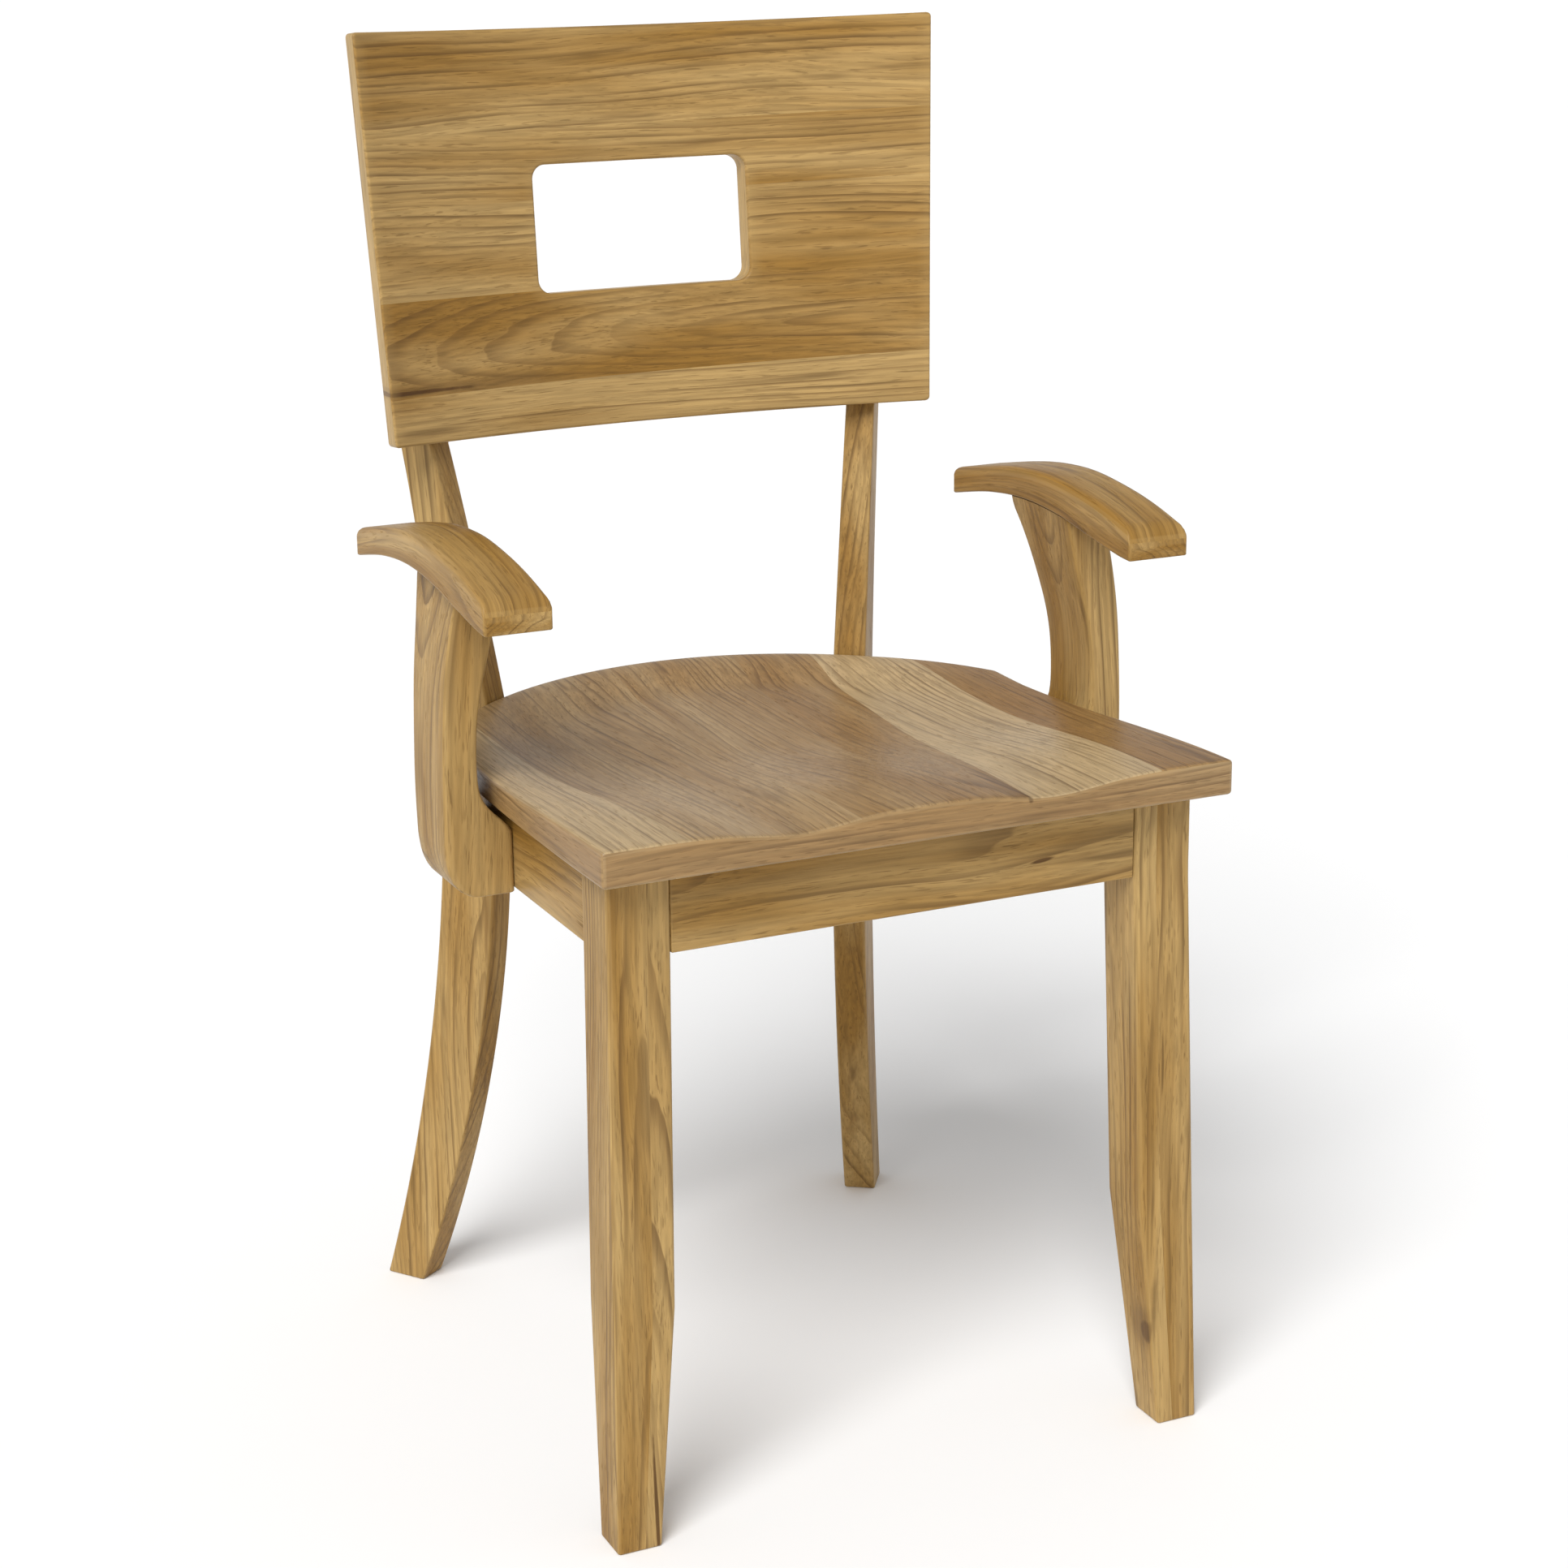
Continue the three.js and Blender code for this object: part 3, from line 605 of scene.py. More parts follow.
def flat_place(pair, where, amount, r):
    """A point of the section on the flat board: across the board and up it."""
    (ix, ih), (nx, nh), (ox, oh), (mx, mh) = pair
    inner = (ix + nx * r, ih + nh * r)
    outer = (ox - mx * r, oh - mh * r)
    if where == "hole":
        x, h = ix + nx * amount, ih + nh * amount
    elif where == "edge":
        x, h = ox - mx * amount, oh - mh * amount
    else:
        x, h = lerp(inner[0], outer[0], amount), lerp(inner[1], outer[1], amount)
    outwards = {"hole": 0, "edge": 1}.get(where, amount)
    height = h + window_middle
    flare = 1 + outwards * panel_flare / panel_half * height / panel_height
    return x * flare, height


def panel_shape():
    section, r = panel_section()
    vertices, fractions, edges = [], [], []
    for pair in panel_pairs:
        for where, amount, deep, _ in section:
            x, h = flat_place(pair, where, amount, r)
            vertices.append(panel_place(x, h, deep))
            fractions.append((x, h, deep))
            edges.append(0.0 if where == "across" and 0.03 < amount < 0.97 else 1.0)
    rings, steps = len(panel_pairs), len(section)
    faces, sides = [], []
    for i in range(rings):
        for j in range(steps):
            k, m = (i + 1) % rings, (j + 1) % steps
            faces.append([i * steps + j, k * steps + j, k * steps + m, i * steps + m])
            wall = section[j][3] if section[j][3] == section[m][3] else "front"
            upright_wall = abs(panel_pairs[i][1 if wall == "hole" else 3][0]) > 0.7
            sides.append((wall, upright_wall))
    return vertices, faces, sides, fractions, edges


def panel_grain(point, part, side, number):
    x, h, deep = part
    if side[0] in ("edge", "hole"):
        heart, start, lean = 300, 60, 0.02
        along, over = (h, x) if side[1] else (x, h)
        return along, deep - heart, start + over * lean
    return x, h, deep


make_piece("back_panel", panel_shape(), panel_grain, tone=0.0, shifted=False)


# %% [markdown]
# ## Rear posts
#
# A rear leg and the back post above it are one piece, sawn to a sabre curve from a wide
# plank. Each stands on a spoke of the seat's round back. A front and a back line give its
# depth at every height. Behind the panel its front is cut to the panel's hollow back.

# %% Rear posts
post_thickness = 24.4
post_lean = 0.012
post_taper = 0.016
post_level = (apron_bottom + seat_height - seat_edge) / 2
post_flat_bottom = apron_bottom + 9.8
post_flat_top = post_flat_bottom + 55
post_seat = panel_bottom + 3.5
post_top = size_of("rear_post_left")[1].z
post_foot = hoop_radius + 83.6
post_back = hoop_radius + 42.5
post_panel_back = post_panel_radius + 27
post_top_back = hoop_radius + 83
post_depth = 42
post_heart = (230, 34)
post_grain_lean = 0.02

post_front_line = np.vstack([
    bend((post_foot, 0), (hoop_radius, post_flat_bottom / 2), (hoop_radius, post_flat_bottom)),
    bend(
        (hoop_radius, post_flat_top),
        (lerp(hoop_radius, post_panel_radius, 0.47), lerp(post_flat_top, post_seat, 0.55)),
        (post_panel_radius, post_seat),
    ),
])
post_back_line = np.vstack([
    bend((post_foot + 32.6, 0), (post_back + 5, post_level / 2), (post_back, post_level)),
    bend(
        (post_back, post_level),
        (lerp(post_back, post_panel_back, 0.2), (post_flat_top + post_seat) / 2),
        (post_panel_back, post_seat),
    )[1:],
    [(post_top_back, post_top)],
])


def on_spoke(side, radius, inwards, z):
    x = radius * math.sin(post_angle) - inwards * math.cos(post_angle)
    y = hoop_centre + radius * math.cos(post_angle) + inwards * math.sin(post_angle)
    return side * x, y, z


def behind_panel(side, inwards, z):
    """The radius on the spoke where the panel's back lies."""
    radius = post_panel_radius
    for _ in range(6):
        x, y, _ = on_spoke(side, radius, inwards, z)
        dy, dz = y - panel_depth, z - panel_bottom
        deep = dy * math.cos(panel_lean) - dz * math.sin(panel_lean) + panel_bow(x)
        radius -= deep - panel_thickness - gap
    return radius


def post_shape(side):
    def place(u, v, w):
        z = w * post_top
        narrow = v * post_taper * min(max(z - post_level, 0), post_seat - post_level)
        inwards = (v - 0.5) * post_thickness + post_lean * (post_level - z) - narrow
        back = read(post_back_line, z)
        front = read(post_front_line, z)
        if z > post_seat:
            front = behind_panel(side, inwards, z)
        return on_spoke(side, lerp(front, back, u), inwards, z)

    seat_step = [post_seat - 2, post_seat, post_seat + 0.3]
    bands = ((2.5, 2.5), (2.5, 2.5), (1.5, 1.5))
    sizes = (post_depth, post_thickness, post_top)
    return rounded_block(sizes, bands, (3, 2, 90), place, ((), (), seat_step))


def post_grain(point, part, side, number):
    x, y, z = point
    from_heart = math.hypot(x, y - hoop_centre) - post_heart[0]
    return z, from_heart, part[1] * 24 + post_heart[1] + post_grain_lean * z


for label, side in sides_of_chair:
    make_piece(f"rear_post_{label}", post_shape(side), post_grain, tone=0.55)


# %% [markdown]
# ## Arms
#
# Each arm is a bowed board: a lower and an upper curve give its thickness along its length,
# and its top is rounded over, most at the front where the hand rests.

# %% Arms
arm_front = 107
arm_length = 245.5
arm_low = seat_height + 109.5
arm_width = 44.7
support_inner = half_width + 7.2
support_outer = support_inner + 23.8
arm_inner = support_inner - 22.6
front_round = 12
side_round = 6.5


def arm_curve(points):
    return curve_through([(arm_front + share * arm_length, arm_low + rise) for share, rise in points])


arm_underside = arm_curve([
    (0, 0), (0.07, 1.3), (0.22, 7.1), (0.4, 14.5), (0.59, 17.2), (0.79, 13.3), (1, 3.7),
])
arm_crest = arm_curve([
    (0, 20.1), (0.14, 28.8), (0.28, 34.8), (0.46, 38.9), (0.63, 37.4), (0.79, 32), (1, 22.3),
])


def round_over(radius, distance):
    inside = min(max(radius - distance, 0), radius)
    return radius - math.sqrt(radius ** 2 - inside ** 2)


def arm_shape(side):
    def place(u, v, w):
        x, y = u * arm_width, v * arm_length
        from_side = min(x, arm_width - x)
        drop = max(0.95 * round_over(front_round, y), 0.85 * round_over(side_round, from_side))
        top = read(arm_crest, arm_front + y, 0, 1) - drop
        bottom = read(arm_underside, arm_front + y, 0, 1)
        return side * (arm_inner + x), arm_front + y, lerp(bottom, top, w)

    side_lines = [4, side_round, arm_width - side_round, arm_width - 4]
    front_lines = [3.6, 6, 9, front_round]
    extra = (side_lines, front_lines, ())
    return rounded_block((arm_width, arm_length, 20), ((2, 2),) * 3, (10, 60, 4), place, extra)


def arm_grain(point, part, side, number):
    x, y, _ = point
    heart, start, depth, lean = 140, 20, 30, 0.03
    return y, abs(x) - heart, start + depth * part[2] + lean * y


for label, side in sides_of_chair:
    make_piece(f"arm_rest_{label}", arm_shape(side), arm_grain, tone=0.78)


# %% [markdown]
# ## Arm supports
#
# Seen from the front, a support stands against the apron, bends out round the edge of the
# seat and leans in again under the arm. Seen from the side, it widens at the back of its
# top. Two curves give the inner and outer faces, and a third the back.

# %% Arm supports
support_front = 190
support_foot_bottom = apron_bottom - 2.4
apron_outer = size_of("side_apron_right")[1].x
foot_inner = apron_outer + gap


def drawn_in(start, points):
    return [(start - inwards, seat_height + rise) for inwards, rise in points]


support_outer_line = np.vstack([
    bend(
        (foot_inner + 21, support_foot_bottom),
        (support_outer, support_foot_bottom),
        (support_outer, support_foot_bottom + 36),
    ),
    curve_through([
        (support_outer, support_foot_bottom + 36),
        *drawn_in(support_outer, [(0.6, 0), (3.4, 54), (9.6, 97), (18, 132)]),
    ])[1:],
])
support_inner_line = np.vstack([
    [(foot_inner, support_foot_bottom)],
    curve_through([
        (foot_inner, seat_height - 39.4),
        *drawn_in(support_inner, [
            (14, -31.2), (5.5, -22), (0.6, -9), (0.3, 20), (3.6, 48), (12.6, 86), (23, 132),
        ]),
    ]),
])
support_back_line = np.vstack([
    [(53, support_foot_bottom)],
    curve_through([
        (53, support_foot_bottom), (58.5, seat_height - 30), (60.5, seat_height + 35),
        (64.5, seat_height + 75), (71, seat_height + 100), (80, seat_height + 119.5),
    ])[1:],
])


def support_shape(side):
    height, foot_curve_height = 200, 36
    foot_lines = [foot_curve_height * t * t for t in (0.37, 0.46, 0.56, 0.67, 0.78, 0.89, 1)]

    def place(u, v, w):
        guess = support_foot_bottom + w * height
        y = support_front + v * read(support_back_line, guess)
        top = read(arm_underside, y, 0, 1) - gap
        z = support_foot_bottom + w * (top - support_foot_bottom)
        x = lerp(read(support_inner_line, z), read(support_outer_line, z), u)
        return side * x, support_front + v * read(support_back_line, z), z

    bands = ((3, 3), (3, 3), (1.5, 0))
    return rounded_block((24, 60, height), bands, (3, 5, 46), place, ((), (), foot_lines))


for label, side in sides_of_chair:
    grain = sawn((2, 1, 0), (235, 215), 0.05)
    make_piece(f"arm_support_{label}", support_shape(side), grain, tone=0.48)


# %% [markdown]
# ## Nodes without the wiring noise
#
# A material is a graph. `Wiring` adds nodes and joins them in one step, so a formula in
# the graph reads like a formula in the script. A value may be a number or the output
# socket of another node.

# %% A short hand for node graphs
class Wiring:
    def __init__(self, tree):
        self.tree = tree

    def node(self, kind, *values, **settings):
        node = self.tree.nodes.new(kind)
        for name, value in settings.items():
            setattr(node, name, value)
        for socket, value in zip(node.inputs, values):
            if isinstance(value, bpy.types.NodeSocket):
                self.tree.links.new(value, socket)
            elif value is not None:
                socket.default_value = value
        return node

    def math(self, operation, *values):
        return self.node("ShaderNodeMath", *values, operation=operation).outputs[0]

    def vector(self, operation, *values):
        return self.node("ShaderNodeVectorMath", *values, operation=operation).outputs[0]

    def stretched(self, vector, scale):
        return self.vector("MULTIPLY", vector, scale)

    def noise(self, vector, detail=2.0, rough=0.5, output=0):
        node = self.node("ShaderNodeTexNoise", noise_dimensions="3D")
        self.tree.links.new(vector, node.inputs["Vector"])
        node.inputs["Scale"].default_value = 1.0
        node.inputs["Detail"].default_value = detail
        node.inputs["Roughness"].default_value = rough
        return node.outputs[output]

    def ramp(self, value, start, end, low=0.0, high=1.0):
        node = self.node("ShaderNodeMapRange", value, start, end, low, high, interpolation_type="SMOOTHSTEP")
        return node.outputs[0]

    def mix(self, share, first, second, blend="MIX"):
        node = self.node("ShaderNodeMix", data_type="RGBA", blend_type=blend)
        sockets = {s.identifier: s for s in node.inputs}
        for name, value in (("Factor_Float", share), ("A_Color", first), ("B_Color", second)):
            if isinstance(value, bpy.types.NodeSocket):
                self.tree.links.new(value, sockets[name])
            else:
                sockets[name].default_value = value
        return next(s for s in node.outputs if s.identifier == "Result_Color")


print("node helpers:", [name for name in vars(Wiring) if not name.startswith("_")])


# %% [markdown]
# ## The wood
#
# The chair is a light hardwood under a satin lacquer. The pattern is made the way a tree
# makes it: growth rings are circles round the heart, `grain` says where a point lay in the
# tree, and slow noise bends the rings. Where a board's face cuts them at a low angle they
# open into the pointed arches of a flat-sawn board. Dark late wood ends each ring, fine
# pores run along the grain, and slow noise shifts the colour. Bump comes from the pores.

# %% Growth rings, pores and streaks
RING_WIDTH = 0.0052


def hardwood_group():
    group = bpy.data.node_groups.new("hardwood_figure", "ShaderNodeTree")
    face = group.interface
    for name, kind in (
        ("Grain", "NodeSocketVector"), ("Board", "NodeSocketFloat"), ("Edge", "NodeSocketFloat"),
        ("Mark", "NodeSocketFloat"), ("Patches", "NodeSocketFloat"),
        ("Pale", "NodeSocketColor"), ("Warm", "NodeSocketColor"), ("Dark", "NodeSocketColor"),
    ):
        face.new_socket(name, in_out="INPUT", socket_type=kind)
    for name, kind in (
        ("Colour", "NodeSocketColor"), ("Roughness", "NodeSocketFloat"), ("Height", "NodeSocketFloat"),
    ):
        face.new_socket(name, in_out="OUTPUT", socket_type=kind)
    w = Wiring(group)
    inlet = group.nodes.new("NodeGroupInput").outputs
    outlet = group.nodes.new("NodeGroupOutput").inputs
    grain, board, edge = inlet["Grain"], inlet["Board"], inlet["Edge"]

    slow = w.noise(w.stretched(grain, (2.6, 11, 11)), detail=1.5, output=1)
    slow = w.stretched(w.vector("SUBTRACT", slow, (0.5, 0.5, 0.5)), (0, 0.034, 0.034))
    quick = w.noise(w.stretched(grain, (9, 70, 70)), detail=2, output=1)
    quick = w.stretched(w.vector("SUBTRACT", quick, (0.5, 0.5, 0.5)), (0, 0.0032, 0.0032))
    bent = w.vector("ADD", w.vector("ADD", grain, slow), quick)
    radius = w.node("ShaderNodeVectorMath", w.stretched(bent, (0, 1, 1)), operation="LENGTH").outputs["Value"]

    rings = w.math("DIVIDE", radius, RING_WIDTH)
    number = w.math("FLOOR", rings)
    within = w.math("SUBTRACT", rings, number)
    split = w.node("ShaderNodeSeparateXYZ", grain).outputs
    spot = w.node(
        "ShaderNodeCombineXYZ", w.math("MULTIPLY", split[0], 4.5), w.math("MULTIPLY", number, 0.83),
        w.math("MULTIPLY", board, 13.0),
    ).outputs[0]
    strength = w.ramp(w.noise(spot, detail=2), 0.36, 0.66, 0.06, 1.0)
    late = w.math("MULTIPLY", w.ramp(within, 0.45, 0.93), w.ramp(within, 0.95, 1.0, 1.0, 0.0))
    late = w.math("MULTIPLY", late, strength)

    fibre = w.noise(w.stretched(bent, (14, 420, 420)), detail=3)
    pore_field = w.noise(w.stretched(bent, (62, 1000, 1000)), detail=1)
    pores = w.math("MULTIPLY", w.ramp(pore_field, 0.56, 0.68), w.ramp(within, 0.0, 0.8, 1.0, 0.35))
    cloud = w.noise(w.stretched(grain, (4, 20, 20)), detail=2)
    tint = w.noise(w.vector("ADD", w.stretched(grain, (3, 34, 34)), (7.1, 3.3, 9.2)), detail=2)
    stain = w.noise(w.vector("ADD", w.stretched(grain, (5.5, 75, 75)), (2.7, 8.1, 4.4)), detail=3)
    stain = w.ramp(stain, 0.60, 0.76)

    drift = w.math("ADD", w.math("SUBTRACT", cloud, 0.5), w.math("SUBTRACT", tint, 0.5))
    tone = w.math("ADD", board, w.math("MULTIPLY", drift, inlet["Patches"]))
    tone = w.ramp(tone, -0.15, 1.15)
    colour = w.mix(tone, inlet["Pale"], inlet["Warm"])
    dark = w.math("MULTIPLY", late, 0.62)
    dark = w.math("MAXIMUM", dark, w.math("MULTIPLY", stain, 0.55))
    dark = w.math("MAXIMUM", dark, w.math("MULTIPLY", pores, 0.42))
    dark = w.math("MAXIMUM", dark, inlet["Mark"])
    colour = w.mix(dark, colour, inlet["Dark"])
    shade = w.ramp(fibre, 0.28, 0.72, 0.84, 1.14)
    colour = w.vector("SCALE", colour, (0, 0, 0), (0, 0, 0), shade)
    # Painted highlight: the rounded edges are painted lighter, towards the pale colour.
    edge_highlight = w.math("MULTIPLY", edge, 0.22)
    colour = w.mix(edge_highlight, colour, inlet["Pale"])

    rough = w.math("ADD", 0.43, w.math("MULTIPLY", pores, 0.16))
    rough = w.math("ADD", rough, w.math("MULTIPLY", w.math("SUBTRACT", cloud, 0.5), 0.10))
    rough = w.math("SUBTRACT", rough, w.math("MULTIPLY", edge, 0.05))
    height = w.math("ADD", w.math("MULTIPLY", fibre, 0.35), w.math("MULTIPLY", pores, -1.0))
    height = w.math("SUBTRACT", height, w.math("MULTIPLY", late, 0.3))
    for socket, value in zip(outlet, (colour, rough, height)):
        group.links.new(value, socket)
    return group


figure = hardwood_group()
print("the wood pattern has", len(figure.nodes), "nodes")


# %% [markdown]
# ## Boards, marks and lacquer
#
# A wide seat or back is glued up from boards, and each was sawn from another place in the
# tree. Cutting the seams in the material keeps them straight on a curved mesh. Dark mineral
# marks are set one by one as soft ellipsoids, since chance would seldom put one in a telling
# place. The lacquer is a thin coat with a low shine.

# %% Parts of a wood material
PALE = (0.44, 0.29, 0.112)
WARM = (0.265, 0.138, 0.027)
DARK = (0.085, 0.038, 0.010)


def attribute(w, name, output="Fac"):
    return w.node("ShaderNodeAttribute", attribute_name=name).outputs[output]


def cut_into_boards(w, grain, stored_tone, boards):
    """Cuts at each board's lower seam and gives the board its own figure, lean and tone."""
    split = w.node("ShaderNodeSeparateXYZ", grain).outputs
    _, _, old_offset, old_lean, old_tone = boards[0]
    tone = w.math("ADD", stored_tone, old_tone)
    first = w.vector("SCALE", (0, 0, old_lean), None, None, split[0])
    whole = w.vector("ADD", w.vector("ADD", grain, [c * mm for c in old_offset]), first)
    for height, slope, offset, lean, new_tone in boards[1:]:
        line = w.math("ADD", w.math("MULTIPLY", split[0], slope), height * mm)
        above = w.math("GREATER_THAN", split[1], line)
        jump = [(c - d) * mm for c, d in zip(offset, old_offset)]
        shear = w.vector("SCALE", (0, 0, lean - old_lean), None, None, split[0])
        shift = w.vector("SCALE", w.vector("ADD", shear, jump), None, None, above)
        whole = w.vector("ADD", whole, shift)
        tone = w.math("ADD", w.math("MULTIPLY", above, new_tone - old_tone), tone)
        old_offset, old_lean, old_tone = offset, lean, new_tone
    return whole, tone


def dark_marks(w, marks):
    """Mineral marks: long soft ellipsoids, each (centre, half sizes, turn, strength)."""
    place = w.node("ShaderNodeTexCoord").outputs["Object"]
    ragged = w.noise(w.stretched(place, (110, 110, 110)), detail=3)
    total = 0.0
    for centre, half, turn, strength in marks:
        middle = (centre[0] * mm, centre[1] * mm + front_edge, centre[2] * mm)
        size = [h * mm for h in half]
        way = [math.radians(t) for t in turn]
        inside = w.node("ShaderNodeMapping", place, middle, way, size, vector_type="TEXTURE").outputs[0]
        reach = w.node("ShaderNodeVectorMath", inside, operation="LENGTH").outputs["Value"]
        reach = w.math("ADD", reach, w.math("MULTIPLY", ragged, 0.3))
        total = w.math("MAXIMUM", total, w.ramp(reach, 0.65, 1.2, strength, 0.0))
    return total


def wood_material(name, pale=PALE, warm=WARM, dark=DARK, turn=None, boards=(), marks=(),
                  patches=1.9, gloss=0.14):
    """A lacquered wood. With no turn it reads the piece's own grain attribute."""
    material = bpy.data.materials.new(name)
    material.use_nodes = True
    tree = material.node_tree
    w = Wiring(tree)
    shader = tree.nodes["Principled BSDF"]
    wood = w.node("ShaderNodeGroup", node_tree=figure)
    if turn is None:
        grain, board, edge = attribute(w, "grain", "Vector"), attribute(w, "board"), attribute(w, "edge")
        if boards:
            grain, board = cut_into_boards(w, grain, board, boards)
        for socket, value in zip(wood.inputs, (grain, board, edge)):
            tree.links.new(value, socket)
    else:
        place = w.node("ShaderNodeTexCoord").outputs["Object"]
        turned = w.node("ShaderNodeMapping", place, (0, 0, 0), turn).outputs[0]
        tree.links.new(turned, wood.inputs["Grain"])
        wood.inputs["Board"].default_value = 0.4
    if marks:
        tree.links.new(dark_marks(w, marks), wood.inputs["Mark"])
    wood.inputs["Patches"].default_value = patches
    for socket, value in zip(list(wood.inputs)[5:], (pale, warm, dark)):
        socket.default_value = (*value, 1)
    bump = w.node("ShaderNodeBump")
    bump.inputs["Strength"].default_value = 0.35
    bump.inputs["Distance"].default_value = 0.0004
    tree.links.new(wood.outputs["Height"], bump.inputs["Height"])
    tree.links.new(wood.outputs["Colour"], shader.inputs["Base Color"])
    tree.links.new(wood.outputs["Roughness"], shader.inputs["Roughness"])
    tree.links.new(bump.outputs["Normal"], shader.inputs["Normal"])
    shader.inputs["Coat Weight"].default_value = gloss / 3
    shader.inputs["Coat Roughness"].default_value = 0.3
    shader.inputs["Specular IOR Level"].default_value = gloss
    return material


print("late wood lies near", [round(c, 3) for c in DARK], "and early wood near", [round(c, 3) for c in PALE])


# %% [markdown]
# ## The woods of this chair
#
# The seat's colours are paler and greyer than the rest as a painted sheen, since its top takes
# the light, and its lacquer is shinier. All the other pieces share one palette, and each group has its own
# marks.
# Lengths and places are in the maker's frame.

# %% Wood materials
# The panel's boards from the bottom up: (height of the lower seam, its slope, where the
# heart of the tree lay, how much the board leans against it, tone).
PANEL_BOARDS = (
    (0, 0, (0, 90, 20), 0.0, 0.02),
    (34.5, 0.012, (700, -64, 20), -0.085, 0.52),
    (97, 0.0, (1130, -60, 60), 0.04, 0.34),
    (160, 0.012, (2040, -280, 20), 0.0, 0.30),
    (208, 0.01, (2560, -330, 60), 0.03, 0.56),
)
# The seat's boards from the left: (seam at the front, slope, heart, lean, tone).
SEAT_BOARDS = (
    (-300, 0, (0, 340, 40), 0.0, -0.05),
    (-160, -0.05, (1300, 250, 50), 0.02, 0.56),
    (-47, 0.02, (2100, 150, 30), -0.02, 0.66),
    (14, 0.10, (3760, -52, 24), -0.05, 0.80),
    (70, 0.10, (4500, 60, 40), 0.0, -0.02),
    (165, 0.02, (5700, -90, 30), 0.02, 0.95),
)
# The seat's pale and warm colours are paler and greyer than the other woods: a painted sheen on its top.
seat_wood = wood_material(
    "seat_wood", (0.45, 0.325, 0.172), (0.25, 0.134, 0.040), boards=SEAT_BOARDS, patches=0.7, gloss=0.3,
    marks=[
        ((68, 26, 463.5), (2.4, 62, 3), (0, 0, 4), 0.85),
        ((-98, 322, 461), (1.6, 22, 6), (0, 0, -6), 0.5),
    ],
)
panel_wood = wood_material(
    "panel_wood", boards=PANEL_BOARDS,
    marks=[
        ((-212, 440, 681), (112, 120, 2.6), (0, 1.6, 0), 0.95),
        ((-190, 440, 681.5), (170, 120, 5.5), (0, 1.6, 0), 0.42),
        ((0, 440, 915.5), (75, 120, 2.4), (0, 0, 0), 0.6),
    ],
)
rail_wood = wood_material("rail_wood", marks=[((95, 30, 412), (11, 12, 1.8), (0, -6, 0), 0.9)])
leg_wood = wood_material(
    "leg_wood",
    marks=[
        ((-186, 18, 14), (1.6, 14, 80), (0, -1, 0), 0.9),
        ((179, 30, 84), (5, 18, 42), (0, 4, 0), 0.45),
        ((177, 24, 68), (2.5, 9, 17), (0, 4, 0), 0.8),
        ((185, 22, 262), (1.2, 6, 30), (0, 0, 0), 0.55),
    ],
)
arm_wood = wood_material("arm_wood")
block_wood = wood_material(
    "block_wood", (0.62, 0.46, 0.28), (0.5, 0.34, 0.17), (0.3, 0.17, 0.07), turn=(0, 0, 0.4),
)

FINISH = {
    "seat": (seat_wood, "seat_wood"),
    "back_panel": (panel_wood, "panel_wood"),
    "front_apron": (rail_wood, "rail_wood"),
    "rear_apron": (rail_wood, "rail_wood"),
}
PAIRED_FINISH = {
    "side_apron": (rail_wood, "rail_wood"),
    "front_leg": (leg_wood, "leg_wood"),
    "rear_post": (leg_wood, "leg_wood"),
    "arm_rest": (arm_wood, "arm_wood"),
    "arm_support": (leg_wood, "leg_wood"),
}
for label, _ in sides_of_chair:
    FINISH.update({f"{kind}_{label}": finish for kind, finish in PAIRED_FINISH.items()})
for node, (material, slot) in FINISH.items():
    finished[node].data.materials.append(material)
print("finished pieces:", len(finished))


# %% [markdown]
# ## Corner blocks
#
# The blocks glued into the corners of the frame stay as packed, since a sawn block has
# plain faces. They only get a paler wood, read from the object's coordinates.

# %% Corner blocks
for label, _ in sides_of_chair:
    for place in ("front", "rear"):
        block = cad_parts[f"{place}_corner_block_{label}"]
        block.data.materials.clear()
        block.data.materials.append(block_wood)
print("corner blocks in", block_wood.name, "and the last has", len(block.data.polygons), "faces")


# %% [markdown]
# ## Screws, bolts and dowels
#
# A fastener is one shape set many times, which is work for Geometry Nodes: a small tree
# puts an instance of the fastener on each point and turns it along a stored direction.
# The points and directions come from the packed fasteners: their longest axis is found,
# and the end that is wider is the head.

# %% Where the packed fasteners stand
def axis_of(node):
    points = np.array([v.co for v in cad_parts[node].data.vertices], float)
    centre = points.mean(0)
    axis = np.linalg.svd(points - centre)[2][0]
    reach = (points - centre) @ axis
    off = np.linalg.norm(points - centre - np.outer(reach, axis), axis=1)
    middle = (reach.min() + reach.max()) / 2
    if off[reach < middle].max() < off[reach > middle].max():
        axis, reach = -axis, -reach
    return centre + axis * reach.min(), axis, reach.max() - reach.min()


head, direction, length = axis_of("panel_screw_left_low")
print("a panel screw is", round(length / mm, 1), "mm long, set", [round(float(c), 2) for c in direction])


# %% [markdown]
# ## Setting a fastener where it belongs
#
# On the chair each screw is driven into its own hole. Here the tree takes the points and
# turns a copy of one fastener to each stored direction. The result becomes plain geometry,
# so that the library gets solid pieces and no modifier.

